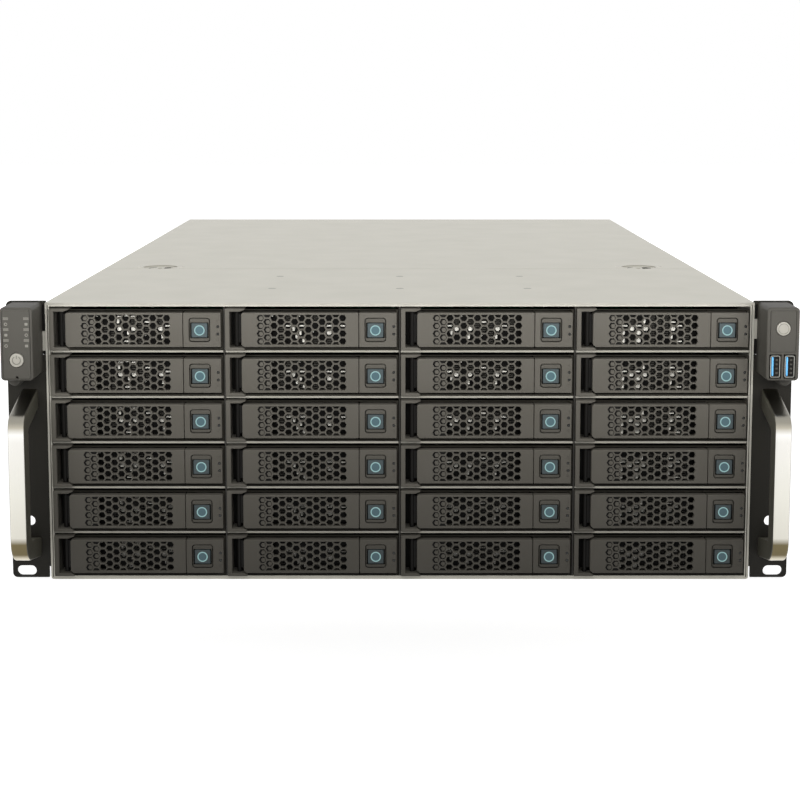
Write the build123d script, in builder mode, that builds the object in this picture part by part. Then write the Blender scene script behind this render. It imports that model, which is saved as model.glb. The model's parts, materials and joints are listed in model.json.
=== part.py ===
from build123d import *

import math
import os

# A server chassis for a 19 inch rack, four rack units high, with 24 drive trays in front.
# X runs to the right as seen from the front, Y to the rear and Z up, all in millimetres.
# The origin is the middle of the whole outline, on the surface that the chassis stands on.

# Rack standard
panel_width = 482.6
hole_column_spacing = 465.1
rack_unit = 44.45
unit_count = 4
height_allowance = 2.8
first_hole_height = 6.35
hole_step = 31.75

# Chassis body of folded sheet
body_depth = 690.0
body_drop = 1.6
sheet = 1.2
bend_radius = 1.6
rail_hole_radius = 2.1
rail_hole_height = 60.0
rail_hole_spacing = 240.0
rail_hole_count = 3
rail_hole_middle = 30.0

# Drive cage: a folded box with shelves and dividers in it
bay_columns = 4
bay_rows = 6
bay_depth = 190.0
cage_gap = 0.5
cage_sheet = 0.8
cage_plate = 1.0
divider_thickness = 0.8
shelf_thickness = 1.2

# Drive tray: running gaps round it and its bezel
tray_clearance = 0.3
tray_headroom = 1.5
tray_length = 180.0
bezel_proud = 3.0
rim_setback = 0.5
bezel_depth = 12.0
bezel_post = 2.8
bezel_rim = 0.9
bezel_side = 1.0
arm_length = 10.0
arm_height = 1.5
lever_gap = 0.3

# Tray lever, hung on an upright rod between the two arms of the bezel
lever_left = 10.2
lever_corner = 1.4
lever_plate = 2.4
lever_skirt = 1.4
lever_depth = 7.0
hinge_inset = 7.0
hinge_depth = 2.0
hinge_rod_radius = 1.4
hinge_lug_height = 2.4
trunnion_radius = 1.0
trunnion_gap = 0.05
trunnion_length = 1.0

# Latch block with the eject button and light pipes, measured from the tray's right side
block_reach = 23.35
block_inset = 1.3
block_floor = 1.5
key_inset = 13.65
key_width = 12.4
key_height = 14.6
key_corner = 2.0
key_gap = 0.3
key_setback = 0.6
key_pocket_depth = 6.0
key_travel = 1.8
lens_width = 9.8
lens_height = 9.2
lens_proud = 0.8
pipe_inset = 2.85
pipe_radius = 0.9
pipe_gap = 0.05
pipe_proud = 0.4
pipe_heights = (1.8, -2.7)

# Caddy behind the bezel, for a 3.5 inch drive
caddy_wall = 1.6
caddy_rail_height = 21.0
caddy_strap = 0.8
caddy_strap_width = 14.0
caddy_strap_count = 3
drive_screw_radius = 1.8
drive_screw_rise = 7.15
drive_screw_depths = (48.0, 92.5, 149.0)

# Honeycomb field in the lever
hex_pitch = 4.75
hex_flats = 3.9
hex_column_pitch = 4.22
hex_rows = 4
hex_blind_columns = 2
hex_blind_depth = 1.0
hex_first_inset = 21.5
hex_last_margin = 8.2

# Rack ears
ear_width = 24.3
ear_sheet = 2.0
ear_setback = 2.0
ear_margin = 0.6
ear_corner = 3.0
ear_flange_length = 62.0
ear_relief_width = 1.6
ear_relief_height = 7.0
slot_width = 12.0
slot_height = 6.4
cable_notch_width = 3.6
cable_notch_low = 141.0
cable_notch_high = 172.0
ear_tab_width = 3.2
ear_tab_height = 12.1
ear_tab_low_left = 143.6
ear_tab_low_right = 151.0

# Handles
handle_width = 10.0
handle_inset = 13.3
handle_reach = 39.0
handle_thickness = 12.0
handle_top = 119.8
handle_bottom = 14.0
handle_top_drop = 11.2
handle_bottom_rise = 7.5
handle_top_radius = 9.0
handle_bottom_radius = 14.0
handle_inner_radius = 4.0
handle_edge = 1.0

# Control housings on the ears
housing_width = 19.6
housing_height = 44.2
housing_drop = 1.3
housing_reach = 27.0
housing_inset = 2.5
housing_corner = 2.6
housing_edge = 1.0
lug_radius = 4.8
lug_drop = 1.2
lug_reach = 13.0
face_button_radius = 4.2
face_button_gap = 0.3
face_button_proud = 0.8
face_button_length = 5.0
face_button_travel = 0.8
power_button_drop = 31.7
identify_button_drop = 12.7
pinhole_drop = 42.2
pinhole_radius = 0.8
pinhole_depth = 6.0
port_drop = 35.6
port_spread = 8.6
port_width = 5.8
port_height = 13.2
port_corner = 1.0
port_wall = 0.4
port_depth = 14.0
port_margin = 0.7
tongue_thickness = 1.9
tongue_side = 0.5
tongue_setback = 1.0

# Covers
seam_offset = 200.0
seam_gap = 0.6
joggle_length = 9.0
joggle_margin = 4.0
lid_flange = 9.0
lid_flange_sheet = 1.0
lid_gap = 0.3
lid_flange_inset = 35.0
latch_offset = 13.5
latch_side_inset = 39.5
latch_radius = 12.0
latch_gap = 0.4
latch_sink = 0.6
latch_thickness = 1.8
latch_dish = 1.0
latch_rim = 1.6
latch_boss_radius = 1.6
latch_travel = 2.0
latch_floor_gap = 0.3
latch_cup_wall = 1.0
latch_stem_radius = 3.0
latch_stem_gap = 0.1
latch_stem_length = 9.0

# Backplane behind the bays
board_thickness = 2.4
board_margin = 3.0
connector_width = 43.0
connector_height = 6.0
connector_depth = 6.0
connector_rise = 5.0
vent_width = 70.0
vent_height = 9.0
vent_drop = 3.0

# Fans in the middle of the chassis
fan_size = 120.0
fan_depth = 38.0
fan_side_gap = 20.0
fan_wall_offset = 236.0
fan_wall_gap = 14.2
fan_wall_rim = 11.0
fan_hub_radius = 20.0
fan_chord = 26.0

# Fans at the rear
rear_fan_size = 80.0
rear_fan_depth = 25.0
rear_fan_pitch = 86.0
rear_fan_height = 112.0
rear_fan_hub_radius = 16.0
rear_fan_chord = 17.0

# What both kinds of fan share
fan_rim = 2.0
fan_corner = 4.0
fan_tip_gap = 1.5
fan_strut_width = 5.0
fan_strut_depth = 4.0
fan_hub_gap = 1.0
fan_front_gap = 3.0
fan_shaft_radius = 2.0
fan_shaft_gap = 0.05
blade_count = 7
blade_pitch = 35.0
blade_camber = 3.0
blade_thickness = 1.6

# Rear panel
io_width = 158.75
io_height = 44.45
io_gap = 12.025
io_rise = 9.0
psu_width = 86.0
psu_height = 150.0
psu_inset = 54.0
psu_rise = 9.0
psu_screw_radius = 1.9
psu_screw_inset = 6.0
psu_lip = 12.0
card_pitch = 20.32
card_gap = 15.225
card_side_margin = 15.0
card_window_width = 13.0
card_window_bottom = 16.0
card_window_top = 118.0
card_cover_width = 18.4
card_cover_sheet = 0.9
card_cover_overlap = 5.0
card_ledge_height = 121.0
card_access_height = 14.0
card_ledge_reach = 12.0
card_ledge_margin = 3.0
rear_flange = 11.0
grille_rings = 3
grille_first_radius = 9.0
grille_ring_pitch = 9.2
grille_slot = 5.4
grille_spoke = 4.0

# Mainboard standoffs, on the usual hole grid
standoff_height = 8.0
standoff_flats = 5.5
standoff_bore = 1.25
standoff_columns = (0.0, 124.46, 281.94)
standoff_rows = (0.0, 154.94, 227.33)
standoff_side_gap = 20.3
standoff_rear_gap = 13.0

# Screws
screw_radius = 2.0
screw_gap = 0.15
screw_head_radius = 3.6
screw_head_height = 2.2
screw_head_chamfer = 0.8
ear_screw_heights = (22.0, 70.0, 118.0)
ear_screw_offset = 40.0
handle_screw_bite = 5.0
handle_screw_inset = 6.5
cover_screw_radius = 1.5
cover_screw_head = 2.6
cover_screw_gap = 0.1
cover_screw_spacing = 84.0
cover_screw_columns = 3
cover_screw_rows = (76.0, 149.0)

# Worked-out sizes and places
low_corner = (Align.MIN, Align.MIN)
low_edge = (Align.CENTER, Align.MIN)
panel_height = unit_count * rack_unit - height_allowance
body_width = panel_width - 2 * ear_width
body_height = panel_height - body_drop
overall_depth = handle_reach - ear_setback + body_depth + card_ledge_reach
front_y = handle_reach - ear_setback - overall_depth / 2
rear_y = front_y + body_depth
half_width = body_width / 2
inner_half = half_width - sheet
wall_top = body_height - sheet
ear_y = front_y + ear_setback
cage_half = inner_half - cage_gap
cage_width = 2 * (cage_half - cage_sheet)
bay_width = (cage_width - (bay_columns - 1) * divider_thickness) / bay_columns
column_pitch = bay_width + divider_thickness
cage_floor = sheet + cage_plate
cage_height = wall_top - cage_plate - cage_floor
bay_height = (cage_height - (bay_rows - 1) * shelf_thickness) / bay_rows
row_pitch = bay_height + shelf_thickness
cage_middle = cage_floor + cage_height / 2
tray_width = bay_width - 2 * tray_clearance
tray_height = bay_height - tray_clearance - tray_headroom
lever_bottom = arm_height + lever_gap
lever_height = tray_height - 2 * lever_bottom
block_left = tray_width - block_reach
lever_right = block_left - lever_gap
key_x = tray_width - key_inset
pipe_x = tray_width - pipe_inset
hex_run = lever_right - hex_last_margin - hex_first_inset
hex_columns = 1 + int(hex_run / hex_column_pitch)
board_y = front_y + bay_depth
seam_y = front_y + seam_offset
rear_cover_y = seam_y + seam_gap
fan_wall_y = front_y + fan_wall_offset
handle_centre = panel_width / 2 - handle_inset
housing_x = panel_width / 2 - housing_inset - housing_width / 2
housing_top = panel_height - housing_drop
housing_bottom = housing_top - housing_height
housing_y = ear_y - housing_reach
first_hole_z = first_hole_height - height_allowance / 2
latch_y = seam_y + latch_offset
latch_spacing = body_width - 2 * latch_side_inset
cup_depth = latch_sink + latch_thickness + latch_travel + latch_floor_gap + latch_cup_wall
cup_floor_z = body_height - cup_depth
fan_wall_height = wall_top - fan_wall_gap
fan_height = fan_wall_height - fan_wall_rim - fan_size / 2
fan_count = int(2 * inner_half / (fan_size + fan_side_gap))
fan_pitch = 2 * inner_half / fan_count
psu_centre = half_width - psu_inset
io_centre = psu_centre - psu_width / 2 - io_gap - io_width / 2
card_first = io_centre - io_width / 2 - card_gap
card_count = 1 + int((half_width - card_side_margin + card_first) / card_pitch)
card_last = card_first - (card_count - 1) * card_pitch
card_middle = (card_first + card_last) / 2
card_span = card_first - card_last + card_cover_width


def facing_front(depth):
    """A sketch plane at this depth that faces the front: its x is X and its y is Z."""
    return Plane.XZ.offset(-depth)


def write(piece, name):
    """Labels a finished piece and writes it as the node of that name."""
    piece.part.label = name
    export_step(piece.part, f"parts/{name}.step")


def write_group(solids, name):
    """Writes separate solids as one node."""
    group = Compound(label=name, children=solids)
    export_step(group, f"parts/{name}.step")


def screw(place, shank_length):
    """Pan-head screw: its head stands on the plane and its shank runs back from it."""
    with BuildPart() as one:
        with BuildSketch(place):
            Circle(screw_head_radius)
        extrude(amount=screw_head_height)
        top = one.faces().sort_by(Axis(place.origin, place.z_dir))[-1]
        chamfer(top.edges(), screw_head_chamfer)
        with BuildSketch(place):
            Circle(screw_radius)
        extrude(amount=-shank_length)
    return one.part.solid()


os.makedirs("parts", exist_ok=True)

# Base pan: floor and both side walls folded from one sheet
ear_screw_places = [(ear_y + ear_screw_offset, height) for height in ear_screw_heights]
rail_hole_places = [
    (rail_hole_middle + (n - (rail_hole_count - 1) / 2) * rail_hole_spacing, rail_hole_height)
    for n in range(rail_hole_count)
]
with BuildPart() as chassis_shell:
    with BuildSketch(facing_front(front_y)):
        Rectangle(body_width, wall_top, align=low_edge)
        fillet(vertices().group_by(Axis.Y)[0], bend_radius)
        with Locations((0, sheet)):
            Rectangle(2 * inner_half, wall_top, align=low_edge, mode=Mode.SUBTRACT)
    extrude(amount=-body_depth)
    with BuildSketch(Plane.YZ):
        with Locations(rail_hole_places):
            Circle(rail_hole_radius)
        with Locations(ear_screw_places):
            Circle(screw_radius + screw_gap)
    extrude(amount=half_width, both=True, mode=Mode.SUBTRACT)
    with BuildSketch(facing_front(ear_y)):
        with Locations((half_width, ear_tab_low_right)):
            Rectangle(ear_tab_width, ear_tab_height, align=low_corner)
        with Locations((-half_width, ear_tab_low_left)):
            Rectangle(ear_tab_width, ear_tab_height, align=(Align.MAX, Align.MIN))
    extrude(amount=-sheet)
write(chassis_shell, "chassis_shell")

# Rear panel with its cut-outs, the ledge for the slot covers and a flange under the cover
card_places = [(card_first - n * card_pitch, card_window_bottom) for n in range(card_count)]
rear_fan_places = [
    (io_centre + side * rear_fan_pitch / 2, rear_fan_height) for side in (-1, 1)
]
with BuildPart() as rear_panel:
    with BuildSketch(facing_front(rear_y)):
        with Locations((0, sheet)):
            Rectangle(2 * inner_half, wall_top - sheet, align=low_edge)
        with Locations((io_centre, io_rise)):
            Rectangle(io_width, io_height, align=low_edge, mode=Mode.SUBTRACT)
        with Locations((psu_centre, psu_rise + psu_height / 2)):
            Rectangle(psu_width - 2 * psu_lip, psu_height - 2 * psu_lip, mode=Mode.SUBTRACT)
            with GridLocations(
                psu_width - 2 * psu_screw_inset, psu_height - 2 * psu_screw_inset, 2, 2
            ):
                Circle(psu_screw_radius, mode=Mode.SUBTRACT)
        with Locations(card_places):
            Rectangle(
                card_window_width,
                card_window_top - card_window_bottom,
                align=low_edge,
                mode=Mode.SUBTRACT,
            )
        with Locations((card_middle, card_ledge_height)):
            Rectangle(card_span, card_access_height, align=low_edge, mode=Mode.SUBTRACT)
    extrude(amount=sheet)
    with BuildSketch(facing_front(rear_y)):
        with Locations(rear_fan_places):
            for ring in reversed(range(grille_rings)):
                inner_radius = grille_first_radius + ring * grille_ring_pitch
                Circle(inner_radius + grille_slot)
                Circle(inner_radius, mode=Mode.SUBTRACT)
            Rectangle(rear_fan_size, grille_spoke, mode=Mode.SUBTRACT)
            Rectangle(grille_spoke, rear_fan_size, mode=Mode.SUBTRACT)
    extrude(amount=sheet, mode=Mode.SUBTRACT)
    with BuildSketch(Plane.XY.offset(card_ledge_height - sheet)):
        with Locations((card_middle, rear_y)):
            Rectangle(card_span + 2 * card_ledge_margin, card_ledge_reach, align=low_edge)
        with Locations([(x, rear_y + card_ledge_reach / 2) for x, bottom in card_places]):
            Circle(screw_radius + screw_gap, mode=Mode.SUBTRACT)
    extrude(amount=sheet)
    with BuildSketch(Plane.XY.offset(wall_top - sheet)):
        with Locations((0, rear_y)):
            Rectangle(2 * inner_half - 2 * lid_flange, rear_flange, align=(Align.CENTER, Align.MAX))
    extrude(amount=sheet)
write(rear_panel, "rear_panel")

# Front cover, screwed to the cage, with a lowered edge that carries the rear cover
cover_screw_places = [
    ((n - (cover_screw_columns - 1) / 2) * cover_screw_spacing, front_y + row)
    for n in range(cover_screw_columns)
    for row in cover_screw_rows
]
joggle_width = latch_spacing - 2 * (latch_radius + latch_gap + latch_cup_wall + joggle_margin)
with BuildPart() as front_cover:
    with BuildSketch(Plane.XY.offset(wall_top)):
        with Locations((0, front_y)):
            Rectangle(body_width, seam_offset, align=low_edge)
    extrude(amount=sheet)
    with BuildSketch(Plane.XY.offset(wall_top)):
        with Locations((0, board_y)):
            Rectangle(joggle_width, seam_offset - bay_depth + joggle_length, align=low_edge)
    extrude(amount=-sheet)
    with Locations(*[Plane((x, y, body_height)) for x, y in cover_screw_places]):
        CounterSinkHole(
            radius=cover_screw_radius + cover_screw_gap,
            counter_sink_radius=cover_screw_head + cover_screw_gap,
            depth=sheet,
            counter_sink_angle=90,
        )
write(front_cover, "front_cover")

# Rear cover: the lid with two cups for its push latches
latch_places = [(-latch_spacing / 2, latch_y), (latch_spacing / 2, latch_y)]
cup_radius = latch_radius + latch_gap
with BuildPart() as rear_cover:
    with BuildSketch(Plane.XY.offset(wall_top)):
        with Locations((0, rear_cover_y)):
            Rectangle(body_width, rear_y - rear_cover_y, align=low_edge)
    extrude(amount=sheet)
    with BuildSketch(Plane.XY.offset(wall_top)):
        for side in (-1, 1):
            flange_x = side * (inner_half - lid_gap - lid_flange_sheet / 2)
            with Locations((flange_x, (rear_cover_y + rear_y) / 2)):
                Rectangle(lid_flange_sheet, rear_y - rear_cover_y - 2 * lid_flange_inset)
    extrude(amount=-lid_flange)
    with BuildSketch(Plane.XY.offset(cup_floor_z)):
        with Locations(latch_places):
            Circle(cup_radius + latch_cup_wall)
    extrude(amount=wall_top - cup_floor_z)
    with BuildSketch(Plane.XY.offset(body_height)):
        with Locations(latch_places):
            Circle(cup_radius)
    extrude(amount=latch_cup_wall - cup_depth, mode=Mode.SUBTRACT)
    with BuildSketch(Plane.XY.offset(cup_floor_z)):
        with Locations(latch_places):
            Circle(latch_stem_radius + latch_stem_gap)
    extrude(amount=latch_cup_wall, mode=Mode.SUBTRACT)
write(rear_cover, "rear_cover")

# Push latches: a dished disc with a boss in its middle, on a stem through the cup
latch_top = body_height - latch_sink
for name, (latch_x, latch_centre_y) in zip(("cover_latch_left", "cover_latch_right"), latch_places):
    with BuildPart() as cover_latch:
        with BuildSketch(Plane((latch_x, latch_centre_y, latch_top - latch_thickness))):
            Circle(latch_radius)
        extrude(amount=latch_thickness)
        with BuildSketch(Plane((latch_x, latch_centre_y, latch_top))):
            Circle(latch_radius - latch_rim)
            Circle(latch_boss_radius, mode=Mode.SUBTRACT)
        extrude(amount=-latch_dish, mode=Mode.SUBTRACT)
        with BuildSketch(Plane((latch_x, latch_centre_y, latch_top - latch_thickness))):
            Circle(latch_stem_radius)
        extrude(amount=-latch_stem_length)
    write(cover_latch, name)

# Drive cage: a folded box, with shelves across it and dividers between the shelves
with BuildPart() as cage_frame:
    with BuildSketch(facing_front(front_y)):
        with Locations((0, cage_middle)):
            Rectangle(2 * cage_half, cage_height + 2 * cage_plate)
            Rectangle(cage_width, cage_height, mode=Mode.SUBTRACT)
    extrude(amount=-bay_depth)
    with BuildSketch(Plane.XY.offset(wall_top)):
        with Locations(cover_screw_places):
            Circle(cover_screw_radius + cover_screw_gap)
    extrude(amount=-cage_plate, mode=Mode.SUBTRACT)
write(cage_frame, "cage_frame")

with BuildPart() as bay_shelves:
    with BuildSketch(facing_front(front_y)):
        with Locations((0, cage_middle)):
            with GridLocations(0, row_pitch, 1, bay_rows - 1):
                Rectangle(cage_width, shelf_thickness)
    extrude(amount=-bay_depth)
with BuildPart() as bay_dividers:
    with BuildSketch(facing_front(front_y)):
        with Locations((0, cage_middle)):
            with GridLocations(column_pitch, row_pitch, bay_columns - 1, bay_rows):
                Rectangle(divider_thickness, bay_height)
    extrude(amount=-bay_depth)
write_group(bay_shelves.part.solids() + bay_dividers.part.solids(), "bay_partitions")

# Backplane against the cage, with a vent and a connector for each bay
board_height = cage_height - 2 * board_margin
with BuildPart() as backplane:
    with BuildSketch(facing_front(board_y)):
        with Locations((0, cage_middle)):
            Rectangle(2 * cage_half, board_height)
        with Locations((0, cage_middle + (bay_height - vent_height) / 2 - vent_drop)):
            with GridLocations(column_pitch, row_pitch, bay_columns, bay_rows):
                Rectangle(vent_width, vent_height, mode=Mode.SUBTRACT)
    extrude(amount=-board_thickness)
write(backplane, "backplane")

with BuildPart() as drive_connectors:
    with BuildSketch(facing_front(board_y)):
        with Locations((0, cage_middle + (connector_height - bay_height) / 2 + connector_rise)):
            with GridLocations(column_pitch, row_pitch, bay_columns, bay_rows):
                Rectangle(connector_width, connector_height)
    extrude(amount=connector_depth)
write(drive_connectors, "drive_connectors")


def fan_frame(centre, front, size, depth, hub_radius):
    """Square fan housing: a bore in a frame, and a motor mount on four struts at its rear."""
    bore_radius = size / 2 - fan_rim
    with BuildPart() as housing:
        with BuildSketch(facing_front(front)):
            with Locations(centre):
                RectangleRounded(size, size, fan_corner)
                Circle(bore_radius, mode=Mode.SUBTRACT)
        extrude(amount=-depth)
        with BuildSketch(facing_front(front + depth)):
            with Locations(centre):
                Rectangle(2 * bore_radius + fan_rim / 2, fan_strut_width)
                Rectangle(fan_strut_width, 2 * bore_radius + fan_rim / 2)
                Circle(hub_radius)
                Circle(fan_shaft_radius + fan_shaft_gap, mode=Mode.SUBTRACT)
        extrude(amount=fan_strut_depth)
    return housing.part.solid()


def fan_rotor(centre, front, size, depth, hub_radius, chord):
    """Hub with its shaft and curved blades that stand round it at one pitch."""
    x, z = centre
    pitch = math.radians(blade_pitch)
    half_swing = chord * math.cos(pitch) / 2
    tip_radius = math.sqrt((size / 2 - fan_rim - fan_tip_gap) ** 2 - half_swing**2)
    hub_back = front + depth - fan_strut_depth - fan_hub_gap
    hub_front = front + fan_front_gap
    middle = (hub_front + hub_back) / 2
    with BuildPart() as rotor:
        with BuildSketch(facing_front(hub_front)):
            with Locations(centre):
                Circle(hub_radius)
        extrude(amount=hub_front - hub_back)
        for blade in range(blade_count):
            turn = math.tau * blade / blade_count
            outward = (math.cos(turn), 0, math.sin(turn))
            along = (
                -math.sin(turn) * math.cos(pitch),
                math.sin(pitch),
                math.cos(turn) * math.cos(pitch),
            )
            with BuildSketch(Plane(origin=(x, middle, z), x_dir=along, z_dir=outward)):
                with BuildLine():
                    ends = ((-chord / 2, 0), (chord / 2, 0))
                    ThreePointArc(ends[0], (0, blade_camber), ends[1])
                    ThreePointArc(ends[0], (0, blade_camber - blade_thickness), ends[1])
                make_face()
            extrude(amount=tip_radius)
        with BuildSketch(facing_front(hub_back)):
            with Locations(centre):
                Circle(fan_shaft_radius)
        extrude(amount=-fan_hub_gap - fan_strut_depth)
    return rotor


# Fan wall with the three fans that draw air through the bays
fan_places = [
    ((n - (fan_count - 1) / 2) * fan_pitch, fan_height) for n in range(fan_count)
]
with BuildPart() as fan_wall:
    with BuildSketch(facing_front(fan_wall_y)):
        with Locations((0, sheet)):
            Rectangle(2 * inner_half, fan_wall_height - sheet, align=low_edge)
        with Locations(fan_places):
            Circle(fan_size / 2 - fan_rim, mode=Mode.SUBTRACT)
    extrude(amount=-sheet)
write(fan_wall, "fan_wall")

fan_front = fan_wall_y + sheet
write_group(
    [fan_frame(place, fan_front, fan_size, fan_depth, fan_hub_radius) for place in fan_places],
    "fan_frames",
)
for number, place in enumerate(fan_places, 1):
    rotor = fan_rotor(place, fan_front, fan_size, fan_depth, fan_hub_radius, fan_chord)
    write(rotor, f"fan_rotor_{number}")

rear_fan_front = rear_y - sheet - rear_fan_depth
write_group(
    [
        fan_frame(place, rear_fan_front, rear_fan_size, rear_fan_depth, rear_fan_hub_radius)
        for place in rear_fan_places
    ],
    "rear_fan_frames",
)
for number, place in enumerate(rear_fan_places, 1):
    rotor = fan_rotor(
        place, rear_fan_front, rear_fan_size, rear_fan_depth, rear_fan_hub_radius, rear_fan_chord
    )
    write(rotor, f"rear_fan_rotor_{number}")

# Standoffs for the mainboard
first_standoff_x = io_centre + io_width / 2 - standoff_side_gap
standoff_places = [
    (first_standoff_x - column, rear_y - sheet - standoff_rear_gap - row)
    for column in standoff_columns
    for row in standoff_rows
    if column < first_standoff_x + inner_half - standoff_flats
]
with BuildPart() as board_standoffs:
    with BuildSketch(Plane.XY.offset(sheet)):
        with Locations(standoff_places):
            RegularPolygon(standoff_flats / 2, 6, major_radius=False)
            Circle(standoff_bore, mode=Mode.SUBTRACT)
    extrude(amount=standoff_height)
write(board_standoffs, "board_standoffs")

# Blank covers over the card slots, each folded over the ledge and held by a screw
card_cover_y = rear_y - sheet - card_cover_sheet
with BuildPart() as slot_covers:
    for card_x, window_bottom in card_places:
        with BuildSketch(Plane.YZ.offset(card_x - card_cover_width / 2)):
            with BuildLine():
                Polyline(
                    (card_cover_y, window_bottom - card_cover_overlap),
                    (rear_y - sheet, window_bottom - card_cover_overlap),
                    (rear_y - sheet, card_ledge_height),
                    (rear_y + card_ledge_reach, card_ledge_height),
                    (rear_y + card_ledge_reach, card_ledge_height + card_cover_sheet),
                    (card_cover_y, card_ledge_height + card_cover_sheet),
                    close=True,
                )
            make_face()
        extrude(amount=card_cover_width)
    with BuildSketch(Plane.XY.offset(card_ledge_height)):
        with Locations([(x, rear_y + card_ledge_reach / 2) for x, bottom in card_places]):
            Circle(screw_radius + screw_gap)
    extrude(amount=card_cover_sheet, mode=Mode.SUBTRACT)
write(slot_covers, "slot_covers")

# Rack ears: a plate with slots at the rack's hole spacing, and a flange along the side wall
handle_y = ear_y - handle_reach
handle_screw_heights = (
    handle_top - handle_screw_inset,
    handle_bottom + handle_screw_inset,
)
slot_heights = (first_hole_z, first_hole_z + hole_step)
with BuildPart() as ear_right:
    with BuildSketch(facing_front(ear_y)):
        with Locations((half_width, ear_margin)):
            Rectangle(ear_width, panel_height - 2 * ear_margin, align=low_corner)
        fillet(vertices().group_by(Axis.X)[-1], ear_corner)
        with Locations([(hole_column_spacing / 2, height) for height in slot_heights]):
            SlotOverall(slot_width, slot_height, mode=Mode.SUBTRACT)
        with Locations((half_width, ear_margin)):
            Rectangle(
                ear_relief_width, ear_relief_height, align=low_corner, mode=Mode.SUBTRACT
            )
        with Locations((half_width, cable_notch_low)):
            Rectangle(
                cable_notch_width,
                cable_notch_high - cable_notch_low,
                align=low_corner,
                mode=Mode.SUBTRACT,
            )
        with Locations([(handle_centre, height) for height in handle_screw_heights]):
            Circle(screw_radius + screw_gap, mode=Mode.SUBTRACT)
    extrude(amount=-ear_sheet)
    flange_low = ear_margin + ear_relief_height
    with BuildSketch(Plane.YZ.offset(half_width)):
        with Locations((ear_y, flange_low)):
            Rectangle(ear_flange_length, cable_notch_low - flange_low, align=low_corner)
        fillet(vertices().group_by(Axis.X)[-1], ear_corner)
        with Locations(ear_screw_places):
            Circle(screw_radius + screw_gap, mode=Mode.SUBTRACT)
    extrude(amount=ear_sheet)
write(ear_right, "ear_right")
with BuildPart() as ear_left:
    mirror(ear_right.part, about=Plane.YZ)
write(ear_left, "ear_left")


def leg_height(start, drop, depth):
    """Height of a leg's outer face, this far in front of the ear."""
    return start - drop * depth / handle_reach


# Handles: a flat bar bent twice, its upper leg steeper than its lower one
inner_reach = handle_reach - handle_thickness
with BuildPart() as handle_right:
    with BuildSketch(Plane.YZ.offset(handle_centre - handle_width / 2)):
        with BuildLine():
            FilletPolyline(
                (ear_y, handle_top),
                (handle_y, leg_height(handle_top, handle_top_drop, handle_reach)),
                (handle_y, leg_height(handle_bottom, -handle_bottom_rise, handle_reach)),
                (ear_y, handle_bottom),
                radius=[handle_top_radius, handle_bottom_radius],
            )
            Line((ear_y, handle_bottom), (ear_y, handle_top))
        make_face()
        with BuildLine():
            FilletPolyline(
                (ear_y, handle_top - handle_thickness),
                (
                    ear_y - inner_reach,
                    leg_height(handle_top, handle_top_drop, inner_reach) - handle_thickness,
                ),
                (
                    ear_y - inner_reach,
                    leg_height(handle_bottom, -handle_bottom_rise, inner_reach)
                    + handle_thickness,
                ),
                (ear_y, handle_bottom + handle_thickness),
                radius=handle_inner_radius,
            )
            Line(
                (ear_y, handle_bottom + handle_thickness),
                (ear_y, handle_top - handle_thickness),
            )
        make_face(mode=Mode.SUBTRACT)
    extrude(amount=handle_width)
    front_face = handle_right.faces().sort_by(Axis.Y)[0]
    chamfer(front_face.edges().filter_by(Axis.Z), handle_edge)
    with Locations(
        *[
            Plane((handle_centre, ear_y, height), z_dir=(0, 1, 0))
            for height in handle_screw_heights
        ]
    ):
        Hole(screw_radius + screw_gap, depth=handle_screw_bite + screw_gap)
write(handle_right, "handle_right")
with BuildPart() as handle_left:
    mirror(handle_right.part, about=Plane.YZ)
write(handle_left, "handle_left")


def housing_block(side):
    """Rounded control housing on one ear, with the round lug under it."""
    with BuildPart() as block:
        with BuildSketch(facing_front(ear_y)):
            with Locations((side * housing_x, housing_bottom)):
                Rectangle(housing_width, housing_height, align=low_edge)
        extrude(amount=housing_reach)
        fillet(block.edges().filter_by(Axis.Y), housing_corner)
        fillet(block.faces().sort_by(Axis.Y)[0].edges(), housing_edge)
        lug_x = side * (housing_x + housing_width / 2 - lug_radius)
        with BuildSketch(facing_front(ear_y)):
            with Locations((lug_x, housing_bottom - lug_drop)):
                Circle(lug_radius)
        extrude(amount=lug_reach)
    return block.part


def face_button(side, drop):
    """Round button that stands out of a housing, with a rounded front edge."""
    with BuildPart() as button:
        with BuildSketch(facing_front(housing_y - face_button_proud)):
            with Locations((side * housing_x, housing_top - drop)):
                Circle(face_button_radius)
        extrude(amount=-face_button_length)
        fillet(button.faces().sort_by(Axis.Y)[0].edges(), face_button_proud / 2)
    return button


# Left housing with the power button and a reset pinhole; right one with the other button
button_bore_depth = face_button_length - face_button_proud + face_button_travel + face_button_gap
with BuildPart() as control_housing_left:
    add(housing_block(-1))
    with BuildSketch(facing_front(housing_y)):
        with Locations((-housing_x, housing_top - power_button_drop)):
            Circle(face_button_radius + face_button_gap)
    extrude(amount=-button_bore_depth, mode=Mode.SUBTRACT)
    with BuildSketch(facing_front(housing_y)):
        with Locations((-housing_x, housing_top - pinhole_drop)):
            Circle(pinhole_radius)
    extrude(amount=-pinhole_depth, mode=Mode.SUBTRACT)
write(control_housing_left, "control_housing_left")
write(face_button(-1, power_button_drop), "power_button")

port_places = [
    (housing_x + side * port_spread / 2, housing_top - port_drop) for side in (-1, 1)
]
with BuildPart() as control_housing_right:
    add(housing_block(1))
    with BuildSketch(facing_front(housing_y)):
        with Locations((housing_x, housing_top - identify_button_drop)):
            Circle(face_button_radius + face_button_gap)
    extrude(amount=-button_bore_depth, mode=Mode.SUBTRACT)
    with BuildSketch(facing_front(housing_y)):
        with Locations(port_places):
            Rectangle(port_width + 2 * port_margin, port_height + 2 * port_margin)
    extrude(amount=-port_depth, mode=Mode.SUBTRACT)
write(control_housing_right, "control_housing_right")
write(face_button(1, identify_button_drop), "identify_button")

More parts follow.
